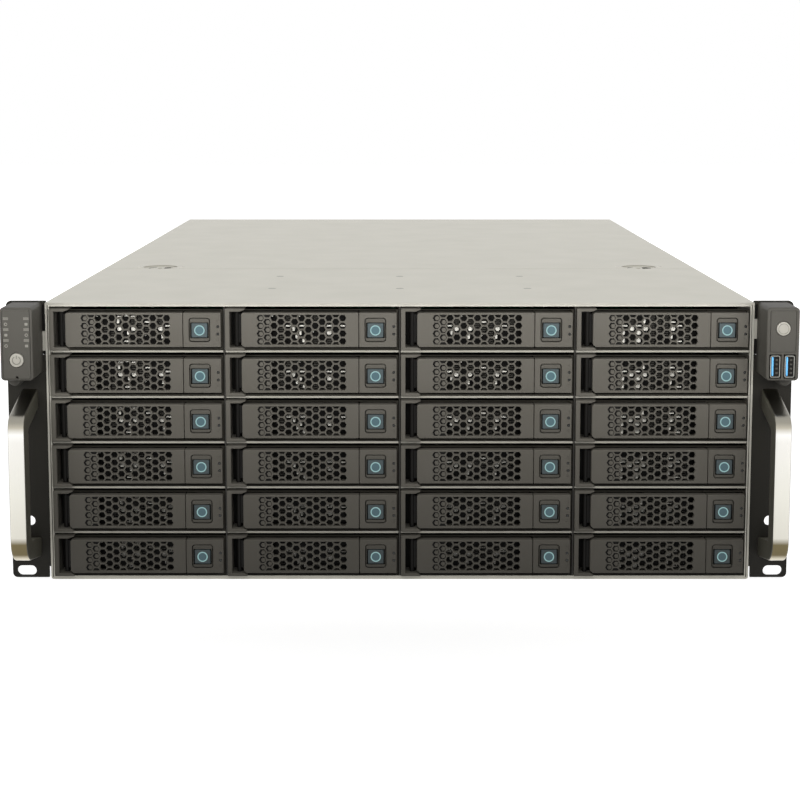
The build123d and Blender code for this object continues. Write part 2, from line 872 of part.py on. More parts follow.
# Two upright data ports: a metal shell with a tongue on one side in each
with BuildPart() as data_port_shells:
    with BuildSketch(facing_front(housing_y)):
        with Locations(port_places):
            RectangleRounded(port_width, port_height, port_corner)
    extrude(amount=-port_depth)
    with BuildSketch(facing_front(housing_y)):
        with Locations(port_places):
            Rectangle(port_width - 2 * port_wall, port_height - 2 * port_wall)
    extrude(amount=port_wall - port_depth, mode=Mode.SUBTRACT)
write(data_port_shells, "data_port_shells")

tongue_centre_shift = (tongue_thickness - port_width) / 2 + port_wall + tongue_side
with BuildPart() as data_port_tongues:
    with BuildSketch(facing_front(housing_y + tongue_setback)):
        with Locations([(x + tongue_centre_shift, z) for x, z in port_places]):
            Rectangle(tongue_thickness, port_height - 2 * port_wall - 2 * tongue_side)
    extrude(amount=port_wall + tongue_setback - port_depth)
write(data_port_tongues, "data_port_tongues")

# Screws of one kind: ear flanges to side walls, handles to ears, slot covers to their ledge
screws = []
for side in (-1, 1):
    for screw_y, height in ear_screw_places:
        place = Plane((side * (half_width + ear_sheet), screw_y, height), z_dir=(side, 0, 0))
        screws.append(screw(place, ear_sheet + sheet))
    for height in handle_screw_heights:
        place = Plane((side * handle_centre, ear_y + ear_sheet, height), z_dir=(0, 1, 0))
        screws.append(screw(place, ear_sheet + handle_screw_bite))
for card_x, window_bottom in card_places:
    place = Plane((card_x, rear_y + card_ledge_reach / 2, card_ledge_height + card_cover_sheet))
    screws.append(screw(place, card_cover_sheet + sheet))
write_group(screws, "panel_screws")

with BuildPart() as cover_screws:
    with BuildSketch(Plane.XY.offset(body_height)):
        with Locations(cover_screw_places):
            Circle(cover_screw_head)
    extrude(amount=cover_screw_radius - cover_screw_head, taper=45)
    with BuildSketch(Plane.XY.offset(body_height)):
        with Locations(cover_screw_places):
            Circle(cover_screw_radius)
    extrude(amount=-sheet - cage_plate)
write(cover_screws, "cover_screws")

# Trays. Each is modelled at the upper left bay and placed by its column and row.
tray_x = tray_clearance - cage_width / 2
tray_z = cage_floor + (bay_rows - 1) * row_pitch + tray_clearance
hinge_x = tray_x + hinge_inset
hinge_y = front_y + hinge_depth


def tray_front(depth):
    """A plane that faces the front, this far behind the sheet edges, at the tray's low corner."""
    return Plane(origin=(tray_x, front_y + depth, tray_z), x_dir=(1, 0, 0), z_dir=(0, -1, 0))


def caddy(detailed):
    """Two side rails on three straps; the detailed one has its drive screw holes."""
    with BuildPart() as frame:
        with BuildSketch(tray_front(bezel_depth)):
            for left in (0, tray_width - caddy_wall):
                with Locations((left, 0)):
                    Rectangle(caddy_wall, caddy_rail_height, align=low_corner)
        extrude(amount=bezel_depth - tray_length)
        strap_step = (tray_length - bezel_depth - caddy_strap_width) / (caddy_strap_count - 1)
        for n in range(caddy_strap_count):
            with BuildSketch(tray_front(bezel_depth + n * strap_step)):
                Rectangle(tray_width, caddy_strap, align=low_corner)
            extrude(amount=-caddy_strap_width)
        if detailed:
            with BuildSketch(Plane.YZ.offset(tray_x)):
                with Locations(
                    [(front_y + depth, tray_z + drive_screw_rise) for depth in drive_screw_depths]
                ):
                    Circle(drive_screw_radius)
            extrude(amount=tray_width, mode=Mode.SUBTRACT)
    return frame


def bezel(detailed):
    """Open frame with a post and two arms at its left and the latch block at its right."""
    block_right = tray_width - block_inset
    arm_end = bezel_post + arm_length
    inner_right = tray_width - bezel_side
    with BuildPart() as frame:
        with BuildSketch(tray_front(rim_setback)):
            Rectangle(tray_width, tray_height, align=low_corner)
            with Locations((bezel_post, bezel_rim)):
                Rectangle(
                    inner_right - bezel_post,
                    tray_height - 2 * bezel_rim,
                    align=low_corner,
                    mode=Mode.SUBTRACT,
                )
        extrude(amount=rim_setback - bezel_depth)
        with BuildSketch(tray_front(-bezel_proud)):
            with BuildLine():
                Polyline(
                    (0, 0),
                    (arm_end, 0),
                    (arm_end - arm_height, arm_height),
                    (bezel_post, arm_height),
                    (bezel_post, tray_height - arm_height),
                    (arm_end - arm_height, tray_height - arm_height),
                    (arm_end, tray_height),
                    (0, tray_height),
                    close=True,
                )
            make_face()
        extrude(amount=-bezel_proud - bezel_depth)
        with BuildSketch(tray_front(-bezel_proud)):
            with Locations((block_left, lever_bottom)):
                Rectangle(block_right - block_left, lever_height, align=low_corner)
        extrude(amount=-key_pocket_depth - block_floor)
        with BuildSketch(tray_front(-bezel_proud + key_pocket_depth)):
            with Locations((block_left, bezel_rim)):
                Rectangle(
                    inner_right - block_left, tray_height - 2 * bezel_rim, align=low_corner
                )
        extrude(amount=-block_floor)
        with BuildSketch(tray_front(-bezel_proud)):
            with Locations((key_x, tray_height / 2)):
                if detailed:
                    RectangleRounded(key_width, key_height, key_corner)
                else:
                    Rectangle(key_width, key_height)
        extrude(amount=-key_pocket_depth, mode=Mode.SUBTRACT)
        if detailed:
            with BuildSketch(tray_front(-bezel_proud)):
                with Locations([(pipe_x, tray_height / 2 + rise) for rise in pipe_heights]):
                    Circle(pipe_radius + pipe_gap)
            extrude(amount=-key_pocket_depth - block_floor, mode=Mode.SUBTRACT)
            for bore_low in (
                arm_height - trunnion_length - trunnion_gap,
                tray_height - arm_height,
            ):
                with BuildSketch(Plane((hinge_x, hinge_y, tray_z + bore_low))):
                    Circle(trunnion_radius + trunnion_gap)
                extrude(amount=trunnion_length + trunnion_gap, mode=Mode.SUBTRACT)
    return frame


def hex_places(blind):
    """Centres of the blind or open cells, from the field's middle; odd columns hold one more."""
    places = []
    for column in range(hex_columns):
        if (column < hex_blind_columns) == blind:
            rows = hex_rows + column % 2
            x = (column - (hex_columns - 1) / 2) * hex_column_pitch
            places += [(x, (row - (rows - 1) / 2) * hex_pitch) for row in range(rows)]
    return places


def lever(detailed):
    """Honeycomb plate with a skirt, hung on its rod by two lugs; a plain one has a window."""
    lever_width = lever_right - lever_left
    field_height = (hex_rows - 1) * hex_pitch + hex_flats
    field_middle = hex_first_inset + (hex_columns - 1) / 2 * hex_column_pitch
    field_width = (hex_columns - 1) * hex_column_pitch + hex_flats
    lever_low = tray_z + lever_bottom
    with BuildPart() as plate:
        with BuildSketch(tray_front(-bezel_proud)):
            with Locations((lever_left, lever_bottom)):
                Rectangle(lever_width, lever_height, align=low_corner)
            chamfer(vertices().group_by(Axis.X)[0], lever_corner)
        extrude(amount=-lever_depth)
        with BuildSketch(tray_front(-bezel_proud + lever_plate)):
            with Locations((lever_left + lever_skirt, lever_bottom + lever_skirt)):
                Rectangle(
                    lever_width - 2 * lever_skirt,
                    lever_height - 2 * lever_skirt,
                    align=low_corner,
                )
        extrude(amount=lever_plate - lever_depth, mode=Mode.SUBTRACT)
        if detailed:
            for blind, depth in ((True, hex_blind_depth), (False, lever_plate)):
                with BuildSketch(tray_front(-bezel_proud)):
                    with Locations((field_middle, tray_height / 2)):
                        with Locations(hex_places(blind)):
                            RegularPolygon(hex_flats / 2, 6, major_radius=False, rotation=30)
                        Rectangle(field_width + hex_flats, field_height, mode=Mode.INTERSECT)
                extrude(amount=-depth, mode=Mode.SUBTRACT)
        else:
            with BuildSketch(tray_front(-bezel_proud)):
                with Locations((field_middle, tray_height / 2)):
                    Rectangle(field_width, field_height)
            extrude(amount=-lever_plate, mode=Mode.SUBTRACT)
        for lug_low in (lever_low, lever_low + lever_height - hinge_lug_height):
            with BuildSketch(Plane((hinge_x, hinge_y, lug_low))):
                Rectangle(
                    lever_left + lever_skirt - hinge_inset,
                    2 * hinge_rod_radius,
                    align=(Align.MIN, Align.CENTER),
                )
            extrude(amount=hinge_lug_height)
        with BuildSketch(Plane((hinge_x, hinge_y, lever_low))):
            Circle(hinge_rod_radius)
        extrude(amount=lever_height)
        if detailed:
            with BuildSketch(Plane((hinge_x, hinge_y, lever_low - lever_gap - trunnion_length))):
                Circle(trunnion_radius)
            extrude(amount=lever_height + 2 * (lever_gap + trunnion_length))
    return plate


def eject_button(detailed):
    """Key with a raised square lens, with room behind it for its travel."""
    key_length = key_pocket_depth - key_setback - key_travel - key_gap
    with BuildPart() as button:
        with BuildSketch(tray_front(key_setback - bezel_proud)):
            with Locations((key_x, tray_height / 2)):
                if detailed:
                    RectangleRounded(
                        key_width - 2 * key_gap, key_height - 2 * key_gap, key_corner - key_gap
                    )
                else:
                    Rectangle(key_width - 2 * key_gap, key_height - 2 * key_gap)
        extrude(amount=-key_length)
        with BuildSketch(tray_front(key_setback - bezel_proud)):
            with Locations((key_x, tray_height / 2)):
                Rectangle(lens_width, lens_height)
        extrude(amount=lens_proud)
    return button


# The upper left tray, taken apart into its pieces
write(caddy(True), "tray_a1")
write(bezel(True), "bezel_a1")
write(lever(True), "lever_a1")
write(eject_button(True), "eject_button_a1")
with BuildPart() as light_pipes_a1:
    with BuildSketch(tray_front(-bezel_proud - pipe_proud)):
        with Locations([(pipe_x, tray_height / 2 + rise) for rise in pipe_heights]):
            Circle(pipe_radius)
    extrude(amount=-pipe_proud - key_pocket_depth - block_floor)
    fillet(light_pipes_a1.faces().group_by(Axis.Y)[0].edges(), pipe_proud / 2)
write(light_pipes_a1, "light_pipes_a1")

# The other trays, each one node of four solids, with an open window in place of the honeycomb
plain_pieces = [make(False).part.solid() for make in (caddy, bezel, lever, eject_button)]
for column in range(bay_columns):
    for row in range(bay_rows):
        if column or row:
            place = Location((column * column_pitch, 0, -row * row_pitch))
            name = f"tray_{'abcdefgh'[column]}{row + 1}"
            write_group([piece.moved(place) for piece in plain_pieces], name)
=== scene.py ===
import json
import math

import bmesh
import bpy
import numpy as np
from bpy.props import FloatProperty, FloatVectorProperty, PointerProperty
from bpy.types import Operator, Panel, PropertyGroup
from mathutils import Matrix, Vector
from mathutils.geometry import tessellate_polygon


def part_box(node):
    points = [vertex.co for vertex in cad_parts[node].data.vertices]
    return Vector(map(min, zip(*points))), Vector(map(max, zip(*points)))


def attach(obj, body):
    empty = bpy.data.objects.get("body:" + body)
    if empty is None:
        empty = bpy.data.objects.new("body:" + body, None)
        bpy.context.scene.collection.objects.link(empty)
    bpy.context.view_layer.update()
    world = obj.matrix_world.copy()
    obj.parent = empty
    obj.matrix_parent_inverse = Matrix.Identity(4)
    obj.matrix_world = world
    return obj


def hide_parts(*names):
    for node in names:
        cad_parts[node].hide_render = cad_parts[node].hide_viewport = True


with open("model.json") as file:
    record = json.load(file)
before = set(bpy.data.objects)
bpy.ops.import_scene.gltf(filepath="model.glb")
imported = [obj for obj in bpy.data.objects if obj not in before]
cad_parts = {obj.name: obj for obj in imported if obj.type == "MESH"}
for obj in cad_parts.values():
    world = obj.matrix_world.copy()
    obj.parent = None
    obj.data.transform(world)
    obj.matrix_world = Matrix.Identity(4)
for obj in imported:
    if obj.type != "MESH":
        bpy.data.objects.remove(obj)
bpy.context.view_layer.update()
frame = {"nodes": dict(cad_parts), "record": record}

bl_info = {
    "name": "Server Chassis Looks",
    "version": (1, 0, 0),
    "blender": (4, 5, 0),
    "location": "View3D > Sidebar > Chassis",
    "description": "Dresses a packed rack-mount chassis with its trays, handles and controls",
    "category": "Object",
}

COLUMNS = "abcd"
ROWS = range(1, 7)


def corners_of(node):
    """Lowest and highest corner of a CAD node, in millimetres."""
    low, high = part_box(node)
    return np.array(low) * 1000, np.array(high) * 1000


def middle_of(node):
    """Middle of a CAD node's box, in millimetres."""
    return sum(corners_of(node)) / 2


# Frame sizes that several pieces share, in millimetres
SHEET_FRONT = corners_of("cage_frame")[0][1]
EAR_FRONT = corners_of("ear_left")[0][1]
EAR_SHEET, BODY_HALF = 2.0, 217.0


# Outlines and surfaces


def rectangle(left, right, low, high):
    """Corners of an upright rectangle, anticlockwise from its lower left one."""
    return np.array([(left, low), (right, low), (right, high), (left, high)], float)


def around(centre, half):
    """Corners of an upright rectangle, by its centre and its half sizes."""
    (u, v), (half_u, half_v) = centre, half
    return rectangle(u - half_u, u + half_u, v - half_v, v + half_v)


def arcs(corners, radii, steps=3):
    """The arc that replaces each corner of a closed outline: shape (corners, steps + 1, 2).

    An arc touches both sides at radius / tan(half the corner's angle) from the corner, and its
    points are the slerp between the two directions from its centre to where it touches.
    """
    before = np.roll(corners, 1, 0) - corners
    after = np.roll(corners, -1, 0) - corners
    before /= np.linalg.norm(before, axis=1, keepdims=True)
    after /= np.linalg.norm(after, axis=1, keepdims=True)
    half = np.arccos(np.clip((before * after).sum(1), -1, 1)) / 2
    radii = np.broadcast_to(np.asarray(radii, float), half.shape)
    reach = (radii / np.tan(half))[:, None]
    middle = before + after
    middle /= np.linalg.norm(middle, axis=1, keepdims=True)
    centre = corners + middle * (radii / np.sin(half))[:, None]
    first = (corners + before * reach - centre) / radii[:, None]
    last = (corners + after * reach - centre) / radii[:, None]
    turn = np.pi - 2 * half
    share = np.linspace(0, 1, steps + 1)[None, :, None]
    angle = turn[:, None, None]
    swept = np.sin((1 - share) * angle) * first[:, None] + np.sin(share * angle) * last[:, None]
    return centre[:, None] + swept / np.sin(angle) * radii[:, None, None]


def rounded(corners, radii, steps=3):
    """A closed outline with each corner swapped for its arc."""
    return arcs(corners, radii, steps).reshape(-1, 2)


def circle(centre, radius, count=32):
    """Points (cos t, sin t) times the radius round a centre."""
    turn = np.linspace(0, 2 * np.pi, count, endpoint=False)
    return np.asarray(centre) + radius * np.stack([np.cos(turn), np.sin(turn)], 1)


def inset(outlines, distance):
    """Moves every side of closed outlines inwards by one distance, each corner on its mitre.

    A corner moves by the sum of its sides' normals over one plus their product.
    """
    ahead = np.roll(outlines, -1, -2) - outlines
    ahead /= np.linalg.norm(ahead, axis=-1, keepdims=True)
    normal = np.stack([-ahead[..., 1], ahead[..., 0]], -1)
    behind = np.roll(normal, 1, -2)
    share = 1 + (normal * behind).sum(-1, keepdims=True)
    return outlines + distance * (normal + behind) / share


def edge(depth, radius, steps=3):
    """Stations of a rounded front edge: a quarter turn from the wall to the face."""
    turn = np.linspace(0, np.pi / 2, steps + 1)
    return [(radius * (1 - math.cos(t)), depth + radius * (1 - math.sin(t))) for t in turn]


class Surface:
    """A surface that grows ring by ring in one plane: u to the right, v up, depth away."""

    def __init__(self, origin=(0, 0, 0), right=(1, 0, 0), up=(0, 0, 1)):
        self.origin, self.right, self.up = np.array([origin, right, up], float)
        self.away = np.cross(self.up, self.right)
        self.points, self.faces, self.marks, self.count = [], [], [], 0
        self.mark = 0

    def place(self, flat, depth):
        """The point origin + u right + v up + depth away, for whole arrays of u and v."""
        flat, depth = np.asarray(flat, float), np.asarray(depth, float)[..., None]
        within = flat[..., :1] * self.right + flat[..., 1:] * self.up
        return self.origin + within + depth * self.away

    def ring(self, points):
        """Adds rings of points, the last axis but one going round, and gives their numbers."""
        numbers = self.count + np.arange(points[..., 0].size).reshape(points.shape[:-1])
        self.points.append(points.reshape(-1, 3))
        self.count += numbers.size
        return numbers

    def band(self, first, second):
        """Quads between two rings of equal length, for whole arrays of rings."""
        quads = np.stack([first, np.roll(first, -1, -1), np.roll(second, -1, -1), second], -1)
        self.add_faces(quads.reshape(-1, 4))

    def add_faces(self, faces):
        self.faces.extend(faces.tolist())
        self.marks.extend([self.mark] * len(faces))

    def carry(self, outlines, stations):
        """Carries outlines through stations of (inset, depth) and gives the first and last ring.

        Point (u, s) is outline(u) moved inwards by inset(s), at depth(s).
        """
        rings = [
            self.ring(self.place(inset(outlines, i), np.full(outlines.shape[:-1], d)))
            for i, d in stations
        ]
        for first, second in zip(rings, rings[1:]):
            self.band(first, second)
        return rings[0], rings[-1]

    def close(self, outline, holes=()):
        """Fills a flat ring, less any rings that lie in it, with triangles."""
        rings = [outline, *holes]
        points = np.concatenate(self.points)
        numbers = np.concatenate(rings)
        shapes = [[Vector(p) for p in points[ring]] for ring in rings]
        triangles = tessellate_polygon(shapes)
        self.add_faces(numbers[np.array(triangles)])

    def block(self, outline, stations):
        """Carries an outline through stations and fills both ends."""
        for ring in self.carry(outline, stations):
            self.close(ring)

    def recess(self, outline, stations):
        """Sinks an outline through stations, fills its floor and gives its mouth."""
        mouth, floor = self.carry(outline, stations)
        self.close(floor)
        return mouth

    def box(self, left, right, low, high, front, back, radius=0.3):
        """A closed block with rounded front edges and upright corners."""
        outline = rounded(rectangle(left, right, low, high), radius)
        self.block(outline, [(0, back), *edge(front, radius)])

    def turn(self, centre, profile, count=40, looped=False):
        """Turns a profile of (radius, depth) round a centre: radius (cos t, sin t) at depth."""
        rings = [
            self.ring(self.place(circle(centre, r, count), np.full(count, d))) for r, d in profile
        ]
        for first, second in zip(rings, rings[1:] + (rings[:1] if looped else [])):
            self.band(first, second)
        return rings

    def turned(self, centre, profile, count=40):
        """A turned solid, filled at both ends."""
        rings = self.turn(centre, profile, count)
        self.close(rings[0])
        self.close(rings[-1])


def make_piece(name, surface, materials, body, replaces=(), offset=(0, 0, 0)):
    """Puts a surface into a mesh in metres, faces outwards, and lets it ride on its body."""
    mesh = bpy.data.meshes.new(name)
    points = (np.concatenate(surface.points) + np.asarray(offset)) / 1000
    mesh.from_pydata(points.tolist(), [], surface.faces)
    for material in materials:
        mesh.materials.append(material)
    mesh.polygons.foreach_set("material_index", surface.marks)
    mesh.polygons.foreach_set("use_smooth", np.ones(len(mesh.polygons), bool))
    whole = bmesh.new()
    whole.from_mesh(mesh)
    bmesh.ops.recalc_face_normals(whole, faces=whole.faces)
    whole.to_mesh(mesh)
    whole.free()
    mesh.set_sharp_from_angle(angle=math.radians(32))
    piece = bpy.data.objects.new(name, mesh)
    bpy.context.scene.collection.objects.link(piece)
    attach(piece, body)
    if replaces:
        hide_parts(*replaces)
    return piece


# Colours and materials


def linear(hex_colour):
    """An sRGB hex colour as linear red, green, blue and alpha."""
    parts = [int(hex_colour[i : i + 2], 16) / 255 for i in (1, 3, 5)]
    return [p / 12.92 if p <= 0.04045 else ((p + 0.055) / 1.055) ** 2.4 for p in parts] + [1.0]


def add_node(tree, kind, inputs=None, **settings):
    """Adds a node with its settings; an input is a value, or the output that it is linked to."""
    node = tree.nodes.new(kind)
    for name, value in settings.items():
        setattr(node, name, value)
    for name, value in (inputs or {}).items():
        if isinstance(value, bpy.types.NodeSocket):
            tree.links.new(value, node.inputs[name])
        else:
            node.inputs[name].default_value = value
    return node


def plain_rays(tree):
    """One for camera, mirror and glass rays, which see a plain backdrop, nought for the rest."""
    rays = add_node(tree, "ShaderNodeLightPath").outputs
    shown = rays["Is Camera Ray"]
    for kind in ("Is Glossy Ray", "Is Transmission Ray"):
        either = add_node(tree, "ShaderNodeMath", {0: shown, 1: rays[kind]}, operation="MAXIMUM")
        shown = either.outputs[0]
    return shown


def grained(name, dark, pale, grain, patch, roughness, bump=0.15, stretch=(1, 1, 1), **shading):
    """A surface whose colour drifts between two shades over patches, with a fine raised grain.

    Grain and patch are sizes in millimetres, and stretch lengthens the grain along each axis.
    """
    material = bpy.data.materials.get(name)
    if material:
        return material
    material = bpy.data.materials.new(name)
    material.use_nodes = True
    tree = material.node_tree
    tree.nodes.clear()
    place = add_node(tree, "ShaderNodeTexCoord").outputs["Object"]
    drawn = add_node(
        tree, "ShaderNodeMapping", {"Vector": place, "Scale": [1 / s for s in stretch]}
    )
    cloud = add_node(
        tree, "ShaderNodeTexNoise", {"Vector": place, "Scale": 1000 / patch, "Detail": 3.0}
    )
    fine = add_node(
        tree,
        "ShaderNodeTexNoise",
        {"Vector": drawn.outputs["Vector"], "Scale": 1000 / grain, "Detail": 2.0},
    )
    colour = add_node(
        tree,
        "ShaderNodeMix",
        {"Factor": cloud.outputs["Fac"]},
        data_type="RGBA",
    )
    colour.inputs[6].default_value = linear(dark)
    colour.inputs[7].default_value = linear(pale)
    relief = add_node(
        tree,
        "ShaderNodeBump",
        {"Height": fine.outputs["Fac"], "Strength": bump, "Distance": grain / 4000},
    )
    gloss = add_node(
        tree,
        "ShaderNodeMapRange",
        {
            "Value": fine.outputs["Fac"],
            "To Min": roughness - 0.06,
            "To Max": roughness + 0.06,
        },
    )
    shader = add_node(
        tree,
        "ShaderNodeBsdfPrincipled",
        {
            "Base Color": colour.outputs[2],
            "Roughness": gloss.outputs["Result"],
            "Normal": relief.outputs["Normal"],
            **shading,
        },
    )
    add_node(tree, "ShaderNodeOutputMaterial", {"Surface": shader.outputs["BSDF"]})
    return material


def painted_reflection_metal(name, tones):
    """Brushed metal with painted reflections: its tone changes at the given heights in millimetres,
    standing in for what the bar reflects there.
    """
    material = bpy.data.materials.get(name)
    if material:
        return material
    material = grained(name, "#ffffff", "#ffffff", 0.35, 14.0, 0.3, 0.12, (1, 1, 40), Metallic=1.0)
    tree = material.node_tree
    place = add_node(tree, "ShaderNodeTexCoord").outputs["Object"]
    height = add_node(tree, "ShaderNodeSeparateXYZ", {"Vector": place}).outputs["Z"]
    lowest, highest = min(tones) / 1000, max(tones) / 1000
    share = add_node(
        tree, "ShaderNodeMapRange", {"Value": height, "From Min": lowest, "From Max": highest}
    )
    ramp = add_node(tree, "ShaderNodeValToRGB", {"Fac": share.outputs["Result"]})
    stops = ramp.color_ramp.elements
    for millimetres, tone in tones.items():
        at = (millimetres / 1000 - lowest) / (highest - lowest)
        stop = stops[0] if at == 0 else stops[-1] if at == 1 else stops.new(at)
        stop.color = linear(tone)
    shader = next(node for node in tree.nodes if node.type == "BSDF_PRINCIPLED")
    tree.links.new(ramp.outputs["Color"], shader.inputs["Base Color"])
    return material


def finishes():
    """The chassis's materials, each by its slot in the record."""
    return {
        # Hot-dip galvanised sheet: dull grey metal with faint crystals a few millimetres wide
        "galvanised": grained(
            "galvanised_sheet", "#a5a298", "#bebbb0", 0.8, 9.0, 0.42, 0.08, Metallic=0.5
        ),
        # Electro-galvanised cover sheet: paler, finer and more even than the hot-dip kind
        "cover": grained(
            "electro_galvanised_cover", "#c1bfb4", "#cecbc1", 0.6, 30.0, 0.5, 0.05, Metallic=0.93
        ),
        # Bright zinc plated steel: small turned and pressed pieces with sharp highlights
        "bright_steel": grained(
            "zinc_plated_steel", "#b9b8b0", "#cfcec6", 0.4, 6.0, 0.28, 0.05, Metallic=1.0
        ),
        # Anodised aluminium, satin brushed along the bar, with painted reflections by height: near
        # white, a tan painted reflection at the lower bend, dark where it leans back
        "satin_metal": painted_reflection_metal(
            "anodised_aluminium",
            # Painted reflections by height in millimetres: tan at the lower bend, a painted
            # highlight near the top bend, dark on the upper leg
            {
                12: "#8f8c82", 17: "#d9d6cc", 22: "#c9c1ad", 25: "#6c6248", 32: "#746a4f",
                36: "#dbd8cd", 60: "#e6e4da", 94: "#f0eee8", 99: "#fbfaf6", 103: "#c4beae",
                106: "#a09c90", 110: "#96938a", 116: "#8f8c82",
            },
        ),
        # Powder coat over steel: near black with a fine even orange peel
        "ear_black": grained(
            "black_powder_coat", "#1d1c18", "#262420", 0.7, 25.0, 0.55, 0.3,
            **{"Specular IOR Level": 0.2},
        ),
        # Moulded ABS with a spark-eroded texture: dark warm grey, half matt
        "grey_plastic": grained(
            "grey_textured_abs", "#3d3b36", "#43413c", 0.5, 20.0, 0.5, 0.2,
            **{"Specular IOR Level": 0.3},
        ),
        "tray_plastic": grained(
            "tray_textured_abs", "#524f48", "#595650", 0.5, 20.0, 0.5, 0.2,
            **{"Specular IOR Level": 0.2},
        ),
        # Smoked polycarbonate over a light guide: cool grey with a clear gloss
        "key_plastic": grained(
            "smoked_polycarbonate", "#3b4446", "#465052", 0.6, 90.0, 0.3, 0.02,
            **{"Specular IOR Level": 0.3},
        ),
        # Tinted acrylic rod: almost black where no lamp shines through it, with a wet gloss
        "pipe_plastic": grained("clear_dark_light_pipe", "#161615", "#21211f", 0.5, 8.0, 0.12, 0.0),
        # Glass-filled polyamide: black, moulded, slightly glossy
        "black_plastic": grained(
            "black_polyamide", "#100f0e", "#181715", 0.4, 15.0, 0.5, 0.2,
            **{"Specular IOR Level": 0.15},
        ),
        # Moulded polycarbonate: clean warm white with a soft gloss
        "white_plastic": grained("white_polycarbonate", "#8d8a81", "#959289", 0.5, 6.0, 0.3, 0.03),
        # Polyester tongue of a data port: clear blue
        "blue_plastic": grained("blue_polyester", "#4f9fdb", "#74bbec", 0.4, 6.0, 0.3, 0.03),
        # Circuit board: green solder mask over copper, smooth
        "board": grained("solder_mask", "#1f4a30", "#2c5f3f", 0.9, 4.0, 0.35, 0.1),
        # Nickel plate: pale and bright, for the cover's rivets and for small tabs behind the tray
        # cells, whose pale colour is painted light for the glints that show through
        "nickel": grained("nickel_plate_and_painted_glints", "#d0cdc2", "#f2efe6", 0.5, 2.0, 0.3, 0.1),
        "brass": grained("turned_brass", "#a98c48", "#c4a75e", 0.3, 5.0, 0.3, 0.05, Metallic=1.0),
    }


def length(name, description, millimetres):
    """A property that holds one length."""
    return FloatProperty(
        name=name, description=description, default=millimetres / 1000, min=0.0, unit="LENGTH"
    )


class ChassisTraySizes(PropertyGroup):
    """Sizes of the drive trays that a user may change."""

    edge_radius: length("Edge Radius", "Rounding of the moulded front edges", 0.35)
    cell_flats: length("Cell Width", "Width of a honeycomb cell across its flats", 3.8)
    cell_edge: length("Cell Edge", "Bevel round the front of each honeycomb cell", 0.18)
    dimple_depth: length("Dimple Depth", "Depth of the blind cells at the hinge end", 1.0)
    ring_radius: length("Ring Radius", "Radius of the light ring on the eject key", 2.85)
    ring_thickness: length("Ring Thickness", "Width of the light ring", 0.7)


class ChassisStage(PropertyGroup):
    """Camera and lights that a user may change."""

    camera_place: FloatVectorProperty(
        name="Camera Place",
        description="Where the camera stands",
        default=(0.00018, -1.3141, 0.29726),
        unit="LENGTH",
        subtype="XYZ",
    )
    camera_drop: FloatProperty(
        name="Camera Drop",
        description="How far the camera looks down from the horizon",
        default=math.radians(6.5),
        subtype="ANGLE",
    )
    camera_lens: FloatProperty(
        name="Lens", description="Focal length", default=72.85, unit="CAMERA"
    )
    camera_rise: FloatProperty(
        name="Vertical Shift", description="Lens shift of the framing", default=-0.1458
    )
    key_power: FloatProperty(
        name="Key Power", description="Power of the strip light above the front", default=1.3,
        unit="POWER",
    )
    fill_power: FloatProperty(
        name="Fill Power", description="Power of each wide light round the back", default=16.0,
        unit="POWER",
    )
    sky_level: FloatProperty(
        name="Sky Level", description="Strength of the even light from all round", default=0.1
    )


# Painted shade: the dark line stands for the shade that the trays cast on each column divider
DIVIDER_SHADE_HALF = 0.8  # Half the width of the dark line that a column divider shows


class FinishSheetMetal(Operator):
    """Gives each CAD node that stays in view the finish of its record slot."""

    bl_idname = "server_chassis.finish_nodes"
    bl_label = "Finish CAD Nodes"

    def execute(self, context):
        materials = finishes()
        for part in frame["record"]["subparts"]:
            mesh = frame["nodes"][part["node"]].data
            mesh.materials.clear()
            mesh.materials.append(materials[part["material_slot"]])
        # The partitions take shelves with painted shade on their column dividers
        frame["nodes"]["bay_partitions"].data.materials[0] = self.shelves_with_painted_divider_shade()
        # Zinc plating dulled by handling: a little darker than the cover round each flat head
        frame["nodes"]["cover_screws"].data.materials[0] = grained(
            "dulled_zinc_plate", "#85837a", "#98968c", 0.4, 3.0, 0.4, 0.05, Metallic=1.0
        )
        return {"FINISHED"}

    def shelves_with_painted_divider_shade(self):
        """Galvanised shelves with painted shade on the dividers: dark within a millimetre of each
        line between two columns of trays, where the distance to the nearest line is a ping-pong."""
        material = grained(
            "galvanised_shelves_with_painted_shade", "#8b887e", "#a6a399", 0.8, 9.0, 0.42, 0.08, Metallic=0.3
        )
        tree = material.node_tree
        place = add_node(tree, "ShaderNodeTexCoord").outputs["Object"]
        across = add_node(tree, "ShaderNodeSeparateXYZ", {"Vector": place}).outputs["X"]
        pitch = (corners_of("tray_b2")[0][0] - corners_of("tray_a2")[0][0]) / 1000
        distance = add_node(tree, "ShaderNodeMath", {0: across, 1: pitch / 2}, operation="PINGPONG")
        near = add_node(
            tree,
            "ShaderNodeMath",
            {0: distance.outputs[0], 1: DIVIDER_SHADE_HALF / 1000},
            operation="LESS_THAN",
        )
        shader = next(node for node in tree.nodes if node.type == "BSDF_PRINCIPLED")
        plated = shader.inputs["Base Color"].links[0].from_socket
        mixed = add_node(
            tree, "ShaderNodeMix", {"Factor": near.outputs[0], 6: plated}, data_type="RGBA"
        )
        # Painted shade: dark colour on the dividers where the trays' posts shade them from the
        # light above
        mixed.inputs[7].default_value = linear("#2c2a25")
        tree.links.new(mixed.outputs[2], shader.inputs["Base Color"])
        return material


# Drive trays, from their own lower left corner: u to the right, v up, depth from the sheet edges

